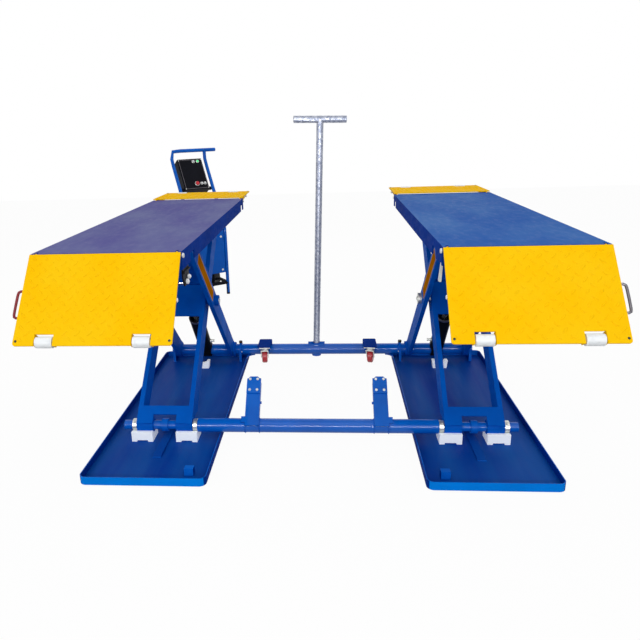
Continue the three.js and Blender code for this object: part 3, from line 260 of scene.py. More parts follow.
def plated_metal(name, colour, shade, roughness, grain=14.0, spangle=False):
    """Zinc or bare metal: a dull lustre broken by cloudy stains, or by crystals where it was hot dipped.

    Its fine roughness is too small to see at this distance, and is drawn a millimetre and a half wide.
    """
    material, tree = new_material(name)
    where = put(tree, "ShaderNodeTexCoord").outputs["Object"]
    if spangle:
        pattern = put(tree, "ShaderNodeTexVoronoi", {"Vector": where, "Scale": size_scale(grain)})
        broken = put(tree, "ShaderNodeSeparateColor", {"Color": pattern.outputs["Color"]}).outputs[0]
    else:
        broken = put(tree, "ShaderNodeTexNoise", {"Vector": where, "Scale": size_scale(grain),
                                                  "Detail": 5.0}).outputs["Fac"]
    tint = put(tree, "ShaderNodeMix", {
        "Factor": broken, MIX_FIRST: linear(colour), MIX_SECOND: linear(shade)}, data_type="RGBA")
    rough = put(tree, "ShaderNodeMapRange", {"Value": broken, "To Min": roughness * 0.75,
                                             "To Max": roughness * 1.3})
    fine = put(tree, "ShaderNodeTexNoise", {"Vector": where, "Scale": size_scale(1.5)})
    bump = put(tree, "ShaderNodeBump", {"Height": fine.outputs["Fac"], "Strength": 0.08, "Distance": 0.0004})
    shader = put(tree, "ShaderNodeBsdfPrincipled", {
        "Base Color": tint.outputs[MIX_RESULT], "Metallic": 0.85, "Roughness": rough.outputs[0],
        "Normal": bump.outputs[0]})
    finish_surface(tree, shader)
    return material


def moulded_plastic(name, colour, shade, roughness, grain=2.0, grain_depth=0.1, glow=0.0):
    """Moulded nylon, rubber or polyurethane: fine skin grain and a little dirt in the low spots.

    Dirt lies in patches as wide as a thumb. The glow is a lit lamp's own light; on pale nylon it is painted
    light.
    """
    material, tree = new_material(name)
    where = put(tree, "ShaderNodeTexCoord").outputs["Object"]
    dirt = put(tree, "ShaderNodeTexNoise", {"Vector": where, "Scale": size_scale(18), "Detail": 5.0})
    soiled = put(tree, "ShaderNodeMapRange", {"Value": dirt.outputs["Fac"], "From Min": 0.5,
                                              "From Max": 0.85})
    tint = put(tree, "ShaderNodeMix", {
        "Factor": soiled.outputs[0], MIX_FIRST: linear(colour), MIX_SECOND: linear(shade)}, data_type="RGBA")
    skin = put(tree, "ShaderNodeTexNoise", {"Vector": where, "Scale": size_scale(grain)})
    bump = put(tree, "ShaderNodeBump", {"Height": skin.outputs["Fac"], "Strength": grain_depth,
                                        "Distance": 0.0005})
    shader = put(tree, "ShaderNodeBsdfPrincipled", {
        "Base Color": tint.outputs[MIX_RESULT], "Roughness": roughness, "Normal": bump.outputs[0], "IOR": 1.5,
        "Emission Color": linear(colour), "Emission Strength": glow})
    finish_surface(tree, shader)
    return material


MATERIALS = {
    # Deep even blue with a soft gloss, on all welded steel that has no finish of its own
    "blue": sprayed_paint("blue_enamel", "#0266d0", "#0256bb", 0.4, coat=0.14, grime=0.02, shine=0.05),
    # The same enamel on the cross tubes, clean and glossy enough for one bright line along each
    "tube_blue": sprayed_paint("tube_enamel", "#0266d0", "#025ec6", 0.4, coat=0.5, grime=0.0, shine=0.02),
    # A flatter coat on the legs, which show the colour of their paint and no sky
    "frame_blue": sprayed_paint("frame_enamel", "#0260ca", "#0252b6", 0.5, coat=0.0, grime=0.02, shine=0.02),
    # Tray floors darkened as painted shade, with paler painted reflections streaked from front to back
    "tray_floor": sprayed_paint("tray_floor_painted_shade_and_reflection", "#00399a", "#1259ac", 0.4, coat=0.0, grime=0.02,
                                streaks=(1, 0.1, 1), shine=0.03),
    # The trays' front edges: the blue made brighter as painted light
    "tray_lip": sprayed_paint("tray_lip_painted_light", "#0084ee", "#007ce2", 0.5, coat=0.0, grime=0.02, shine=0.02),
    # Deck plates: a violet grey painted reflection on the left one, a fainter paler one on the right
    "deck_left": sprayed_paint("deck_enamel_left_painted_reflection", "#585795", "#6a6f9e", 0.6, coat=0.0,
                               streaks=(1, 0.4, 1), shine=0.03),
    "deck_right": sprayed_paint("deck_enamel_right_painted_reflection", "#1a57a8", "#3a6bb0", 0.6, coat=0.0,
                                streaks=(1, 0.4, 1), shine=0.03),
    # Deck skirts, tray sides and castor brackets: the blue darkened as painted shade, matt
    "skirt": sprayed_paint("enamel_in_painted_shade", "#00389a", "#003088", 0.6, coat=0.0, grime=0.01, shine=0.01),
    # Warm yellow ramps, clean and nearly matt
    "yellow": sprayed_paint("yellow_enamel", "#fac100", "#f8c70c", 0.6, coat=0.0, grime=0.01, shine=0.03),
    # Pale cool plating on bolts, collars and small hardware
    "zinc": plated_metal("zinc_plate", "#dcdedb", "#c3c4bd", 0.35),
    # Hot dipped pull handle: light and dark crystals about as wide as a fingernail
    "galvanised": plated_metal("galvanised_steel", "#b4b8c4", "#80879a", 0.42, 9.0, True),
    # Ramp rollers and head blocks: white with a faint skin
    "nylon": moulded_plastic("white_nylon", "#eef2f5", "#d9dde0", 0.45),
    # Foot blocks and cylinder cradles: white nylon with a painted glow that brightens them in their shade
    "nylon_block": moulded_plastic("nylon_with_painted_glow", "#f4f9fd", "#dfeaf3", 0.45, glow=0.22),
    # Control box, motor, cylinder barrels and the trolley's base: even black with a dull sheen
    "black": sprayed_paint("black_powder_coat", "#0f1016", "#16171f", 0.5, coat=0.0, grime=0.02, shine=0.05),
    # Cylinder rods: bright as a mirror
    "chrome": plated_metal("hard_chrome", "#e4e6e8", "#d4d6d9", 0.12),
    # Oiled steel of the right ramp's handle, the glands and the panel's frame: dull grey
    "steel": plated_metal("blackened_steel", "#77747a", "#58565b", 0.4),
    # Castor wheels: warm red, smooth, with darker patches
    "red_wheel": moulded_plastic("red_polyurethane", "#cc2e38", "#a3222c", 0.35),
    # Lock pins and studs: nearly black, with green in one paint and red brown in the other
    "dark_pin": sprayed_paint("dark_pin_paint", "#2c332c", "#3c4438", 0.5, coat=0.1, grime=0.1),
    "brown_pin": sprayed_paint("red_brown_pin_paint", "#4a2a26", "#3a2a24", 0.5, coat=0.1, grime=0.1),
    # Trolley wheels: black rubber, matt and a little grey with dust
    "tyre": moulded_plastic("black_rubber", "#1b1b1d", "#2c2b2b", 0.75, 1.5, 0.3),
    # Lamp lens and buttons of the control box, glossy as moulded; the ramps' pins are as white as the buttons
    "green": moulded_plastic("green_lamp", "#3ee083", "#7df0ac", 0.2, glow=0.6),
    "red": moulded_plastic("red_button", "#d0142c", "#b01024", 0.3),
    "white": moulded_plastic("white_button", "#eef1f4", "#d8dce0", 0.35),
    # Strips on the legs: flat dull orange inside a pale border
    "orange": sprayed_paint("orange_strip", "#c87600", "#b66900", 0.6, coat=0.0, grime=0.02, shine=0.0),
    "strip_border": sprayed_paint("strip_border", "#d8ac70", "#c29656", 0.6, coat=0.0, grime=0.02, shine=0.0),
    # Side handle of the left ramp: red paint with some gloss, darkened as painted shade
    "red_bar": sprayed_paint("red_bar_paint_painted_shade", "#8e2530", "#6d1c26", 0.45, coat=0.3, grime=0.05),
}
NODE_FINISH = {
    "left_outer_foot_block": "nylon_block", "left_inner_foot_block": "nylon_block",
    "right_outer_foot_block": "nylon_block", "right_inner_foot_block": "nylon_block",
    "left_outer_frame": "frame_blue", "right_outer_frame": "frame_blue",
    "left_inner_frame": "frame_blue", "right_inner_frame": "frame_blue", "left_centre_shaft": "frame_blue",
    # The decks' skirts take the painted shade; repaint_zones gives their tops their own paint
    "rear_tube": "tube_blue", "sync_tube": "tube_blue", "left_deck": "skirt", "right_deck": "skirt",
    "left_lock_pin": "brown_pin", "left_ramp_handle": "red_bar", "right_ramp_handle": "steel",
    "left_front_ramp_pin": "white", "right_front_ramp_pin": "white",
}


def link(obj):
    bpy.context.scene.collection.objects.link(obj)
    return obj


def settle(obj):
    """The object's mesh with all modifiers applied, in place of the first one."""
    depsgraph = bpy.context.evaluated_depsgraph_get()
    mesh = bpy.data.meshes.new_from_object(obj.evaluated_get(depsgraph), depsgraph=depsgraph)
    old = obj.data
    obj.modifiers.clear()
    obj.data = mesh
    bpy.data.meshes.remove(old)
    return obj


def shade_by_faces(mesh, corner=38):
    """Every corner takes the mean of the faces round it that turn away by less than the corner angle."""
    mesh.shade_smooth()
    limit = math.cos(math.radians(corner))
    faces = [(face.normal.copy(), face.area) for face in mesh.polygons]
    round_vertex = [[] for _ in mesh.vertices]
    for face in mesh.polygons:
        for vertex in face.vertices:
            round_vertex[vertex].append(face.index)
    normals = [None] * len(mesh.loops)
    for face in mesh.polygons:
        own = faces[face.index][0]
        for corner_index in face.loop_indices:
            total = Vector()
            for other in round_vertex[mesh.loops[corner_index].vertex_index]:
                normal, area = faces[other]
                if normal.dot(own) > limit:
                    total += normal * area
            normals[corner_index] = total.normalized() if total.length else own
    mesh.normals_split_custom_set(normals)


def rounded(obj, width_mm, segments=2, corner=50):
    """Breaks the sharp edges and shades the flats flat and the rounds round."""
    bevel = obj.modifiers.new("edges", "BEVEL")
    bevel.width = width_mm * MM
    bevel.segments = segments
    bevel.limit_method = "ANGLE"
    bevel.angle_limit = math.radians(corner)
    bevel.harden_normals = False
    settle(obj)
    shade_by_faces(obj.data)
    return obj


def claim(piece, body):
    """The piece moves with a body."""
    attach(piece, body)
    return piece


# A copy's corners closer than this are one, and faces this flat to each other, in degrees, are one plate
SAME_CORNER = 0.02
SAME_PLATE = 1


def dressed(node, material, width_mm):
    """A smooth copy of a solid with broken edges, which stands for it."""
    mesh = nodes[node].data.copy()
    mesh.materials.clear()
    mesh.materials.append(MATERIALS[material])
    shape = bmesh.new()
    shape.from_mesh(mesh)
    bmesh.ops.remove_doubles(shape, verts=shape.verts, dist=SAME_CORNER * MM)
    bmesh.ops.dissolve_limit(shape, angle_limit=math.radians(SAME_PLATE), verts=shape.verts,
                             edges=shape.edges)
    shape.to_mesh(mesh)
    shape.free()
    piece = link(bpy.data.objects.new(node + "_finish", mesh))
    rounded(piece, width_mm)
    claim(piece, node_body[node])
    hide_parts(node)
    return piece


# Width of the broken edges: the usual one, and those of solids with such a word in their names
EDGE_USUAL = 1.2
EDGE = {"deck": 1.5, "tray": 1.5, "button": 0.6, "pin": 0.8, "lamp": 0.6, "handle": 0.4}


def dress_all():
    pieces = {}
    for node in nodes:
        width = next((w for word, w in EDGE.items() if word in node), EDGE_USUAL)
        slot = node_slot[node]
        finish = NODE_FINISH.get(node, slot if slot in MATERIALS else "blue")
        pieces[node] = dressed(node, finish, width)
    return pieces


def repaint(piece, finish, matrix, region):
    """Faces whose middle and normal lie in a region of the turned part get another finish."""
    mesh = piece.data
    mesh.materials.append(MATERIALS[finish])
    back = matrix.inverted()
    turn = back.to_quaternion()
    for face in mesh.polygons:
        if region(back @ face.center, turn @ face.normal):
            face.material_index = len(mesh.materials) - 1


def on_collar(point, _):
    """True on the zinc collars of the sync tube, and not on the shaft between them."""
    off_shaft = math.hypot(point.y, point.z) > SHAFT_RADIUS + COLLARS["rise"]
    return off_shaft and any(low < abs(point.x) < high for low, high in COLLARS["spans"])


# How far a face's normal leans along an axis for the face to count as facing that way
FACING = {"deck": 0.3, "floor": 0.5, "side": 0.7}
DECK_SKIN = 1
TRAY_FLOOR_TOP = 12
TRAY_LIP_BACK = 12
ARM_BOLTS_ABOVE = 44.6
TUBE_FITTINGS = {"above": 98, "brackets_beyond": 200, "socket_within": 100}


def repaint_zones(pieces):
    """Zinc collars and bolts and the trolley's black base; painted reflections on the decks and tray floors,
    painted shade on the tray floors, sides and castor brackets, and painted light on the trays' front lips.
    """
    lift = place(0, 0, 0)
    for _, hand in SIDES:
        tray = pieces[hand + "_tray"]
        repaint(pieces[hand + "_deck"], "deck_" + hand, lift,
                lambda p, n: p.z > DECK_TOP - DECK_SKIN and n.z > FACING["deck"])
        # Painted shade on the tray floors and sides, and painted light on their front lips
        repaint(tray, "tray_floor", lift, lambda p, n: p.z < TRAY_FLOOR_TOP and n.z > FACING["floor"])
        repaint(tray, "skirt", lift, lambda p, n: abs(n.x) > FACING["side"])
        repaint(tray, "tray_lip", lift, lambda p, n: p.y < TRAY_LIP_BACK and n.y < -FACING["side"])
        repaint(pieces[hand + "_sync_arm"], "zinc", SYNC_PLACE, lambda p, n: p.z > ARM_BOLTS_ABOVE)
    above = TUBE_FITTINGS["above"]
    # The castor brackets on the rear tube take the painted shade
    repaint(pieces["rear_tube"], "skirt", lift,
            lambda p, n: p.z > above and abs(p.x) > TUBE_FITTINGS["brackets_beyond"])
    repaint(pieces["rear_tube"], "frame_blue", lift,
            lambda p, n: p.z > above and abs(p.x) < TUBE_FITTINGS["socket_within"])
    repaint(pieces["sync_tube"], "zinc", SYNC_PLACE, on_collar)
    repaint(pieces["trolley_frame"], "black", TROLLEY_PLACE, lambda p, n: p.z < TROLLEY["base_top"])


# Small solids in mesh code


def prism(shape, matrix, outline, low, high):
    """A closed plate of any outline, from one local height to another."""
    ends = [[shape.verts.new(matrix @ Vector((x, y, z))) for x, y in outline] for z in (low, high)]
    for end in ends:
        shape.faces.new(end)
    for i in range(len(outline)):
        j = (i + 1) % len(outline)
        shape.faces.new((ends[0][i], ends[0][j], ends[1][j], ends[1][i]))


def turned(shape, matrix, profile, steps=32, hollow=False):
    """A profile of (radius, height) turned about local z; a hollow one closes on itself."""
    rings = []
    for radius, height in profile:
        around = steps if radius else 1
        angles = [2 * math.pi * i / around for i in range(around)]
        rings.append([shape.verts.new(matrix @ Vector((radius * math.cos(a), radius * math.sin(a), height)))
                      for a in angles])
    pairs = list(zip(rings, rings[1:] + rings[:1])) if hollow else list(zip(rings, rings[1:]))
    for lower, upper in pairs:
        for i in range(steps):
            j = (i + 1) % steps
            corners = [ring[k % len(ring)] for ring, k in ((lower, i), (lower, j), (upper, j), (upper, i))]
            corners = list(dict.fromkeys(corners))
            if len(corners) > 2:
                shape.faces.new(corners)


def fitted(name, finish, body, build, width_mm=0.5):
    """A small piece from a function that adds closed solids to an empty shape."""
    shape = bmesh.new()
    build(shape)
    bmesh.ops.recalc_face_normals(shape, faces=shape.faces)
    mesh = bpy.data.meshes.new(name)
    shape.to_mesh(mesh)
    shape.free()
    mesh.materials.append(MATERIALS[finish])
    return claim(rounded(link(bpy.data.objects.new(name, mesh)), width_mm, 2, 30), body)


def box_outline(low_x, high_x, low_y, high_y, corner):
    """A rectangle with rounded corners."""
    points = []
    for x, y, start in ((high_x - corner, high_y - corner, 0), (low_x + corner, high_y - corner, 90),
                        (low_x + corner, low_y + corner, 180), (high_x - corner, low_y + corner, 270)):
        for step in range(5):
            angle = math.radians(start + step * 22.5)
            points.append((x + corner * math.cos(angle), y + corner * math.sin(angle)))
    return points


# Repeated shapes, set out by node trees


def tree_of_copies(name, finish, sizes, make_shape):
    """A node tree that sets one small shape on every point, turned and sized by the point's own values."""
    tree = bpy.data.node_groups.new(name, "GeometryNodeTree")
    tree.interface.new_socket("Points", in_out="INPUT", socket_type="NodeSocketGeometry")
    for label in sizes:
        tree.interface.new_socket(label, in_out="INPUT", socket_type="NodeSocketFloat")
    tree.interface.new_socket("Pieces", in_out="OUTPUT", socket_type="NodeSocketGeometry")
    start = put(tree, "NodeGroupInput").outputs
    facing_way = put(tree, "GeometryNodeInputNamedAttribute", {"Name": "facing"}, data_type="FLOAT_VECTOR")
    size = put(tree, "GeometryNodeInputNamedAttribute", {"Name": "size"}, data_type="FLOAT_VECTOR")
    turn = put(tree, "FunctionNodeEulerToRotation", {"Euler": facing_way.outputs["Attribute"]})
    spread = put(tree, "GeometryNodeInstanceOnPoints", {
        "Points": start["Points"], "Instance": make_shape(tree, start), "Rotation": turn.outputs[0],
        "Scale": size.outputs["Attribute"]})
    real = put(tree, "GeometryNodeRealizeInstances", {"Geometry": spread.outputs[0]})
    painted = put(tree, "GeometryNodeSetMaterial", {
        "Geometry": real.outputs[0], "Material": MATERIALS[finish]})
    put(tree, "NodeGroupOutput", {"Pieces": painted.outputs[0]})
    return tree


def lozenge(tree, start):
    """A long eight-sided stud with sloping sides."""
    stud = put(tree, "GeometryNodeMeshCone", {
        "Vertices": 8, "Radius Top": start["Crown"], "Radius Bottom": 1.0, "Depth": start["Height"]})
    return stud.outputs["Mesh"]


def bolt_head(tree, start):
    """A hexagon head on a round washer."""
    washer = put(tree, "GeometryNodeMeshCone", {"Vertices": 16, "Radius Top": start["Washer"],
                                                "Radius Bottom": start["Washer"], "Depth": 0.28})
    hexagon = put(tree, "GeometryNodeMeshCone", {"Vertices": 6, "Radius Top": 0.9, "Radius Bottom": 1.0,
                                                 "Depth": start["Height"]})
    both = put(tree, "GeometryNodeJoinGeometry")
    tree.links.new(washer.outputs["Mesh"], both.inputs[0])
    tree.links.new(hexagon.outputs["Mesh"], both.inputs[0])
    return both.outputs[0]


def ripple(tree, start):
    """One ripple of a weld bead."""
    drop = put(tree, "GeometryNodeMeshUVSphere", {"Segments": 8, "Rings": 5, "Radius": start["Radius"]})
    soft = put(tree, "GeometryNodeSetShadeSmooth", {"Geometry": drop.outputs["Mesh"], "Shade Smooth": True})
    return soft.outputs[0]


def fin(tree, _):
    """One cooling rib."""
    return put(tree, "GeometryNodeMeshCube", {"Size": (1, 1, 1), "Vertices X": 2, "Vertices Y": 2,
                                              "Vertices Z": 3}).outputs["Mesh"]


TREES = {
    "tread": ({"Crown": 0.72, "Height": 1.0}, lozenge, "yellow"),
    "bolt": ({"Washer": 1.4, "Height": 0.75}, bolt_head, "zinc"),
    "bead": ({"Radius": 1.0}, ripple, "blue"),
    "rib": ({}, fin, "black"),
}


def make_trees():
    return {name: tree_of_copies(name + "_copies", finish, sizes, shape)
            for name, (sizes, shape, finish) in TREES.items()}


def set_out(name, trees, kind, spots, body):
    """Copies of a small shape at (point, rotation, size in metres), as one plain mesh."""
    mesh = bpy.data.meshes.new(name)
    mesh.from_pydata([point for point, _, _ in spots], [], [])
    facing_way = mesh.attributes.new("facing", "FLOAT_VECTOR", "POINT")
    size = mesh.attributes.new("size", "FLOAT_VECTOR", "POINT")
    for index, (_, turn, scale) in enumerate(spots):
        facing_way.data[index].vector = turn.to_euler()
        size.data[index].vector = scale
    piece = link(bpy.data.objects.new(name, mesh))
    copies = piece.modifiers.new("copies", "NODES")
    copies.node_group = trees[kind]
    for item in trees[kind].interface.items_tree:
        if item.in_out == "INPUT" and item.name in TREES[kind][0]:
            copies[item.identifier] = TREES[kind][0][item.name]
    settle(piece)
    for attribute in ("facing", "size"):
        if attribute in piece.data.attributes:
            piece.data.attributes.remove(piece.data.attributes[attribute])
    return claim(piece, body)


def spot_on(matrix, origin, direction, size, spin=0.0):
    """A point on a part, its local z along a direction there, with a size in millimetres."""
    seat = facing(matrix, origin, direction)
    turn = seat.to_quaternion() @ Matrix.Rotation(spin, 3, "Z").to_quaternion()
    return seat.translation, turn, Vector(size) * MM


TREAD = {"step": 20, "long": 12.5, "wide": 4, "high": 1.6, "edge": 15}


def make_tread(trees):
    """Tread plate: lozenges in a chequer, each turned across its neighbours."""
    edge, step = TREAD["edge"], TREAD["step"]
    size = (TREAD["long"], TREAD["wide"], TREAD["high"])
    columns = int((DECK_WIDTH - 2 * edge) / step)
    rows = int((RAMP["length"] - 2 * edge) / step)
    for side, hand in SIDES:
        for end in ("front", "rear"):
            matrix = ramp_place(side, end)
            spots = []
            for i in range(columns + 1):
                for j in range(rows + 1):
                    x = (i - columns / 2) * step
                    y = -edge - j * step
                    at_tip = y < edge + RAMP_NOTCH["depth"] - RAMP["length"]
                    by_notch = RAMP_NOTCH["near"] - edge < abs(x) < RAMP_NOTCH["far"] + edge
                    if (i + j) % 2 or (at_tip and by_notch):
                        continue
                    spin = math.radians(45 if j % 2 else -45)
                    spots.append(spot_on(matrix, (x, y, RAMP["rise"]), (0, 0, 1), size, spin))
            set_out(f"{hand}_{end}_ramp_tread", trees, "tread", spots, f"{hand}_{end}_ramp")


# Weld ripples: their size and how far they stand off each tube, and the faces that they lie against
WELD = {"tube": 2.6, "tube_out": 1, "arm": 2.2, "arm_out": 0.6, "spacing": 1.3, "flat": 0.9,
        "lugs": (445.5, 830.5), "arms": (243.5, 304.5)}


def ring_of_beads(matrix, origin, direction, radius, bead):
    """Weld ripples round a tube where it meets a plate."""
    seat = facing(matrix, origin, direction)
    count = int(2 * math.pi * radius / (bead * WELD["spacing"]))
    spots = []
    for step in range(count):
        angle = 2 * math.pi * step / count
        point = seat @ Vector((radius * math.cos(angle), radius * math.sin(angle), 0))
        turn = seat.to_quaternion() @ Matrix.Rotation(angle, 3, "Z").to_quaternion()
        spots.append((point, turn, Vector((bead, bead * WELD["flat"], bead)) * MM))
    return spots


def make_welds(trees):
    """Beads where the cross tubes meet the lugs, the brackets and the arms."""
    lift = place(0, 0, 0)
    beads = []
    for side, _ in SIDES:
        for x in WELD["lugs"]:
            beads += ring_of_beads(lift, (side * x, REAR_PIVOT_Y, PIVOT_HEIGHT), (side, 0, 0),
                                   TUBE_RADIUS + WELD["tube_out"], WELD["tube"])
    set_out("rear_tube_welds", trees, "bead", beads, "base")
    beads = []
    for side, _ in SIDES:
        for x in WELD["arms"]:
            beads += ring_of_beads(SYNC_PLACE, (side * x, 0, 0), (side, 0, 0),
                                   TUBE_RADIUS + WELD["arm_out"], WELD["arm"])
    set_out("sync_tube_welds", trees, "bead", beads, "inner_frames")


# Bolt heads as (radius, radius, height), and where they sit on what they hold
HEAD = {"lug": (5, 5, 5), "housing": (6, 6, 6), "panel": (3, 3, 2.5), "pivot": (9, 9, 8), "centre": (9, 9, 7)}
LUG_BOLTS = {"x": 446, "from_tube": ((0, 28), (-28, -6))}
HOUSING_BOLTS = (HOUSING["bottom"] + 26, HOUSING["top"] - 70)
PANEL_BOLTS = {"x": 95, "z": (-252, -10)}
PIVOT_END = OUTER_HALF + 12
CENTRE_END = OUTER_HALF + 18.3


def make_bolts(trees):
    """Zinc bolts on the housing, the lugs, the control box and the ends of the pivots."""
    lift = place(0, 0, 0)
    spots = []
    for side, _ in SIDES:
        for back, up in LUG_BOLTS["from_tube"]:
            spots.append(spot_on(lift, (side * LUG_BOLTS["x"], REAR_PIVOT_Y + back, PIVOT_HEIGHT + up),
                                 (-side, 0, 0), HEAD["lug"]))
    for x in (-HOUSING["half"], HOUSING["half"]):
        for z in HOUSING_BOLTS:
            spots.append(spot_on(TROLLEY_PLACE, (x, -TROLLEY["tube"], z), (0, -1, 0), HEAD["housing"]))
    for x in (-PANEL_BOLTS["x"], PANEL_BOLTS["x"]):
        for z in PANEL_BOLTS["z"]:
            spots.append(spot_on(CONTROL_PLACE, (x, -CONTROL["front"], z), (0, -1, 0), HEAD["panel"]))
    set_out("base_bolts", trees, "bolt", spots, "base")
    for side, hand in SIDES:
        leg = outer_leg_place(side)
        spots = [spot_on(leg, (reach * side * PIVOT_END, 0, 0), (reach * side, 0, 0), HEAD["pivot"])
                 for reach in (-1, 1)]
        set_out(f"{hand}_outer_frame_bolts", trees, "bolt", spots, f"{hand}_outer_frame")
        spots = [spot_on(inner_leg_place(side), (reach * CENTRE_END, LOWER_ARM, 0), (reach, 0, 0),
                         HEAD["centre"]) for reach in (-1, 1)]
        set_out(f"{hand}_centre_shaft_nuts", trees, "bolt", spots, f"{hand}_outer_frame")


def make_motor_ribs(trees):
    """Cooling ribs round the pump motor."""
    out = MOTOR["radius"] + MOTOR["rib_out"]
    middle = (MOTOR["bottom"] + MOTOR["top"]) / 2
    spots = []
    for step in range(MOTOR["ribs"]):
        angle = 2 * math.pi * step / MOTOR["ribs"]
        origin = (out * math.cos(angle), MOTOR["back"] + out * math.sin(angle), middle)
        seat = moved(TROLLEY_PLACE, *origin) @ Matrix.Rotation(angle, 4, "Z")
        spots.append((seat.translation, seat.to_quaternion(), Vector(MOTOR["rib"]) * MM))
    set_out("motor_ribs", trees, "rib", spots, "base")


STRIP = {"start": 700, "end": 1065, "low": -36, "high": 21, "proud": 0.8, "border": 4, "top_border": 7,
         "sunk": 0.4, "corner": 6, "inner_corner": 4, "edge": 0.2}


def make_strips():
    """Bare orange strips with a pale border on the inner faces of the outer legs."""
    inside = OUTER_HALF - STRIP["sunk"]
    low, high, border = STRIP["low"], STRIP["high"], STRIP["border"]
    around = box_outline(-STRIP["end"], -STRIP["start"], low, high, STRIP["corner"])
    within = box_outline(border - STRIP["end"], -STRIP["start"] - border, low + border,
                         high - STRIP["top_border"], STRIP["inner_corner"])
    for side, hand in SIDES:
        turn = Matrix(((0, 0, -side, 0), (1, 0, 0, 0), (0, 1, 0, 0), (0, 0, 0, 1)))
        face = outer_leg_place(side) @ turn
        fitted(f"{hand}_leg_strip_border", "strip_border", f"{hand}_outer_frame",
               lambda shape: prism(shape, face, around, inside, OUTER_HALF + STRIP["proud"] * 0.6),
               STRIP["edge"])
        fitted(f"{hand}_leg_strip", "orange", f"{hand}_outer_frame",
               lambda shape: prism(shape, face, within, inside, OUTER_HALF + STRIP["proud"]), STRIP["edge"])


# Small turned parts as profiles of (radius, height)
PIN_END = {"x": 236.5, "y": -162, "z": 10,
           "profile": [(0, 0), (6, 0), (6, 9), (7, 10), (7, 14.5), (5, 16), (0, 16)]}
STUD = {"x": 241, "y": -300, "sunk": 0.5, "profile": [(0, 0), (4, 0), (4, 1.4), (2.6, 2.6), (0, 3)]}


def make_ramp_studs():
    """White pin ends half way down the ramps' inner edges, and dark studs near their corners."""
    for side, hand in SIDES:
        for end, mirror in (("front", 1), ("rear", -1)):
            matrix = ramp_place(side, end)
            inner = -side * mirror
            seat = facing(matrix, (inner * PIN_END["x"], PIN_END["y"], PIN_END["z"]), (inner, 0, 0))
            fitted(f"{hand}_{end}_ramp_pin_end", "white", f"{hand}_{end}_ramp",
                   lambda shape: turned(shape, seat, PIN_END["profile"], 20))

            def add_studs(shape):
                for x in (-STUD["x"], STUD["x"]):
                    turned(shape, facing(matrix, (x, STUD["y"], RAMP["rise"] - STUD["sunk"]), (0, 0, 1)),
                           STUD["profile"], 16)
            fitted(f"{hand}_{end}_ramp_studs", "dark_pin", f"{hand}_{end}_ramp", add_studs, 0.1)


# Outlines in y and z under the decks' front corners, and where they stand across the lift
STOP_X = 413
STOP_FACE_X = 411
STOP_PLATE = [(-90, 862), (-6, 862), (-6, 822), (-16, 800), (-70, 800), (-90, 830)]
STOP_RIB = [(-90, 846), (-6, 846), (-6, 852), (-90, 852)]
STOP_ROLLERS = ((-50, 812, 9), (-22, 822, 8))
STOP_WEDGE = [(-78, 866), (-68, 866), (-38, 801), (-62, 801)]


def make_deck_stops():
    """Stops under the decks' front corners: a black plate with two cream rollers, and a bright wedge."""
    fitted("left_ramp_stop", "black", "left_deck",
           lambda shape: prism(shape, crosswise(-STOP_X), STOP_PLATE, -2.5, 2.5))
    fitted("left_ramp_stop_rib", "black", "left_deck",
           lambda shape: prism(shape, crosswise(-STOP_FACE_X), STOP_RIB, -1, 6))

    def rollers(shape):
        for y, z, radius in STOP_ROLLERS:
            turned(shape, facing(place(0, 0, 0), (-STOP_FACE_X, y, z), (1, 0, 0)),
                   [(0, 0), (radius, 0), (radius, 7), (radius - 2, 9), (3.5, 9), (3, 11), (0, 11)], 24)
    fitted("left_ramp_stop_rollers", "nylon", "left_deck", rollers)
    fitted("right_ramp_stop", "zinc", "right_deck",
           lambda shape: prism(shape, crosswise(STOP_X), STOP_WEDGE, -4, 3))


GLAND = {"start": 17, "sunk": -0.6, "proud": 1.6, "crown": 0.4, "long": 13, "end": 15.5}
UNION = {"back": 96, "sunk": 3,
         "profile": [(0, 0), (9, 0), (9, 9), (6.5, 10), (6.5, 20), (8, 21), (8, 26), (0, 26)]}
CRADLE = {"y": 1200, "half": 16, "bottom": 3.8, "foot": 36, "horn_out": 41.5, "horn_in": 26.5, "horn": 48,
          "bed": 40, "bed_centre": 72, "bed_angles": (0.5, 0.25, 0, -0.25, -0.5)}


def make_cylinder_parts():
    """Gland nut and hose union of each cylinder, and the pale cradle on the tray that it comes down on."""
    radius = CYLINDER["radius"]
    inside, outside, crown = (radius + GLAND[key] for key in ("sunk", "proud", "crown"))
    gland = [(inside, 0), (outside, 0), (outside, GLAND["long"]), (crown, GLAND["end"]),
             (inside, GLAND["end"])]
    foot, out, low, horn = CRADLE["foot"], CRADLE["horn_out"], CRADLE["bottom"], CRADLE["horn"]
    cradle = [(-foot, low), (foot, low), (out, horn), (CRADLE["horn_in"], horn)]
    cradle += [(CRADLE["bed"] * math.sin(a), CRADLE["bed_centre"] - CRADLE["bed"] * math.cos(a))
               for a in CRADLE["bed_angles"]]
    cradle += [(-CRADLE["horn_in"], horn), (-out, horn)]
    upright = Matrix.Rotation(math.radians(90), 4, "X")
    for side, hand in SIDES:
        matrix = cylinder_place(side)
        end = facing(matrix, (0, GLAND["start"] - CYLINDER["length"], 0), (0, -1, 0))
        flank = facing(matrix, (-side * (radius - UNION["sunk"]), -UNION["back"], 0), (-side, 0, 0))
        bed = place(side * SCISSOR_CENTRE, CRADLE["y"], 0) @ upright
        fitted(f"{hand}_cylinder_gland", "steel", f"{hand}_cylinder_barrel",
               lambda shape: turned(shape, end, gland, 40, True))
        fitted(f"{hand}_cylinder_union", "zinc", f"{hand}_cylinder_barrel",
               lambda shape: turned(shape, flank, UNION["profile"], 18))
        fitted(f"{hand}_cylinder_cradle", "nylon_block", "base",
               lambda shape: prism(shape, bed, cradle, -CRADLE["half"], CRADLE["half"]), 1.5)


GUSSET = {"edge": 412, "over": 1, "wide": 40, "long": 60, "rear": 1332, "under_tube": 10,
          "low": 31, "high": 36.8}


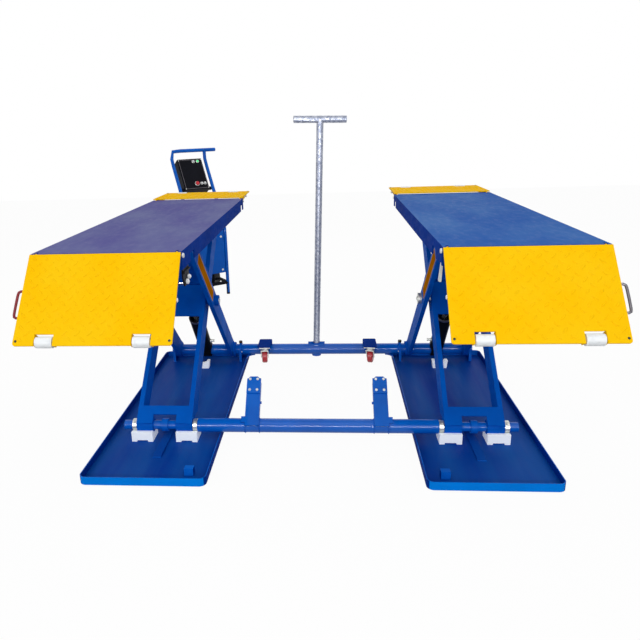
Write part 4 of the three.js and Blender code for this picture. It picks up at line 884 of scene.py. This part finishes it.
def make_tray_gussets():
    """Rounded plates in the corners between the rear tube and the trays' inner edges."""
    edge, wide, long, rear = GUSSET["edge"], GUSSET["wide"], GUSSET["long"], GUSSET["rear"]
    front = rear - GUSSET["under_tube"] - long
    for side, hand in SIDES:
        outline = [(side * (edge + GUSSET["over"]), rear), (side * (edge + GUSSET["over"]), front)]
        outline += [(side * (edge - wide + wide * math.cos(a)), front + long * math.sin(a))
                    for a in (math.radians(step) for step in range(0, 91, 9))]
        outline += [(side * (edge - wide), rear)]
        fitted(f"{hand}_tray_gusset", "tube_blue", "base",
               lambda shape: prism(shape, place(0, 0, 0), outline, GUSSET["low"], GUSSET["high"]), 0.4)


CASTOR = {"y": 1236, "left": -306, "right": 281,
          "bearing": [(10, 116), (24, 116), (26, 118), (26, 120.4), (10, 120.4)]}


def make_castor_rings():
    """The swivel bearing between each castor's bracket and fork."""
    for _, hand in SIDES:
        fitted(f"{hand}_castor_bearing", "zinc", f"{hand}_castor_fork",
               lambda shape: turned(shape, place(CASTOR[hand], CASTOR["y"], 0), CASTOR["bearing"], 32, True),
               0.3)


# The panel's frame, and each control on it as (across, up, radius)
PANEL = {"wide": 96, "low": -254, "high": -8, "strip": 3, "corner": 1.2, "sunk": 1, "proud": 1.2}
CONTROLS = ((62, -24, 9), (26, -24, 9), (8, -214, 15), (46, -214, 8), (74, -214, 8))


def make_control_panel():
    """A frame round the panel and a bezel round each control."""
    panel = CONTROL_PLACE @ Matrix.Rotation(math.radians(90), 4, "X")
    front = CONTROL["front"]

    def frame_strips(shape):
        wide, low, high, strip, corner = (PANEL[key] for key in ("wide", "low", "high", "strip", "corner"))
        for sides in ((-wide, wide, high - strip, high), (-wide, wide, low, low + strip),
                      (-wide, strip - wide, low, high), (wide - strip, wide, low, high)):
            prism(shape, panel, box_outline(*sides, corner), front - PANEL["sunk"], front + PANEL["proud"])
    fitted("control_panel_frame", "steel", "base", frame_strips, 0.3)

    def bezels(shape):
        for x, z, radius in CONTROLS:
            inner, outer, crown = radius + 0.8, radius + 4, radius + 2.4
            turned(shape, facing(CONTROL_PLACE, (x, -front, z), (0, -1, 0)),
                   [(inner, -1), (outer, -1), (outer, 1), (crown, 2.4), (inner, 2.4)], 28, True)
    fitted("control_bezels", "zinc", "base", bezels, 0.2)


# Lights, floor and background
LAMPS = {
    "key": {"at": (700, -1700, 3500), "aim": (0, 500, 300), "size": (3.2, 3.2), "power": 31},
    "fill": {"at": (-3200, -800, 2200), "aim": (0, 600, 400), "size": (2.8, 2.8), "power": 16},
    "back": {"at": (600, 4300, 3000), "aim": (0, 700, 500), "size": (3.0, 3.0), "power": 18},
    "strip": {"at": (0, -4600, 2000), "aim": (0, 600, 60), "size": (6, 0.1), "power": 78},
    "line": {"at": (0, -4600, 1500), "aim": (0, 600, 60), "size": (6, 0.5), "power": 200},
}


# The lamp that only gives the bright line in glossy tubes and bare metal, and no light on matt surfaces
GLOSS_LAMP = "line"


def make_lights():
    """Soft lamps all round; positions in millimetres, sizes in metres and power in watts."""
    for name, lamp in LAMPS.items():
        light = bpy.data.lights.new(name, "AREA")
        light.shape = "RECTANGLE"
        light.size, light.size_y = lamp["size"]
        light.energy = lamp["power"]
        holder = link(bpy.data.objects.new(name, light))
        start, aim = spot(*lamp["at"]), spot(*lamp["aim"])
        holder.visible_camera = False
        holder.visible_diffuse = name != GLOSS_LAMP
        holder.location = start
        holder.rotation_euler = (aim - start).to_track_quat("-Z", "Y").to_euler()


def seen_directly(tree):
    """One for rays from the camera, in gloss or through glass, and zero for light on surfaces."""
    rays = put(tree, "ShaderNodeLightPath")
    some = put(tree, "ShaderNodeMath", {0: rays.outputs["Is Camera Ray"], 1: rays.outputs["Is Glossy Ray"]},
               operation="MAXIMUM")
    return put(tree, "ShaderNodeMath", {0: some.outputs[0], 1: rays.outputs["Is Transmission Ray"]},
               operation="MAXIMUM").outputs[0]


SKY = {"on_surfaces": 0.55, "seen": 1.0}


def make_world():
    """A white sky that lights surfaces at a plain level."""
    world = bpy.data.worlds.new("studio")
    bpy.context.scene.world = world
    world.use_nodes = True
    tree = world.node_tree
    tree.nodes.clear()
    level = put(tree, "ShaderNodeMapRange", {
        "Value": seen_directly(tree), "To Min": SKY["on_surfaces"], "To Max": SKY["seen"]})
    sky = put(tree, "ShaderNodeBackground", {"Color": (1, 1, 1, 1), "Strength": level.outputs[0]})
    put(tree, "ShaderNodeOutputWorld", {"Surface": sky.outputs[0]})


# Half the floor's width in metres, its own colour, and how much of its white is seen past its shadows
FLOOR = {"reach": 9.0, "colour": "#b8b8b8", "white_share": 0.92, "white": 1.04}


def make_floor():
    """A pale floor that keeps the lift's shadow and is otherwise seen white."""
    reach = FLOOR["reach"]
    mesh = bpy.data.meshes.new("floor")
    corners = [(-reach, -reach, 0), (reach, -reach, 0), (reach, reach, 0), (-reach, reach, 0)]
    mesh.from_pydata(corners, [], [(0, 1, 2, 3)])
    floor = link(bpy.data.objects.new("floor", mesh))
    material, tree = new_material("pale_floor")
    matt = put(tree, "ShaderNodeBsdfDiffuse", {"Color": linear(FLOOR["colour"])})
    glow = put(tree, "ShaderNodeEmission", {"Color": (1, 1, 1, 1), "Strength": FLOOR["white"]})
    share = put(tree, "ShaderNodeMath", {0: seen_directly(tree), 1: FLOOR["white_share"]},
                operation="MULTIPLY")
    mix = put(tree, "ShaderNodeMixShader", {0: share.outputs[0], 1: matt.outputs[0], 2: glow.outputs[0]})
    finish_surface(tree, mix)
    mesh.materials.append(material)


make_camera()
make_world()
make_lights()
make_floor()
repaint_zones(dress_all())
node_trees = make_trees()
make_tread(node_trees)
make_welds(node_trees)
make_bolts(node_trees)
make_motor_ribs(node_trees)
make_strips()
make_ramp_studs()
make_deck_stops()
make_cylinder_parts()
make_castor_rings()
make_tray_gussets()
make_control_panel()

bpy.context.scene.view_settings.view_transform = "Standard"
bpy.context.view_layer.update()
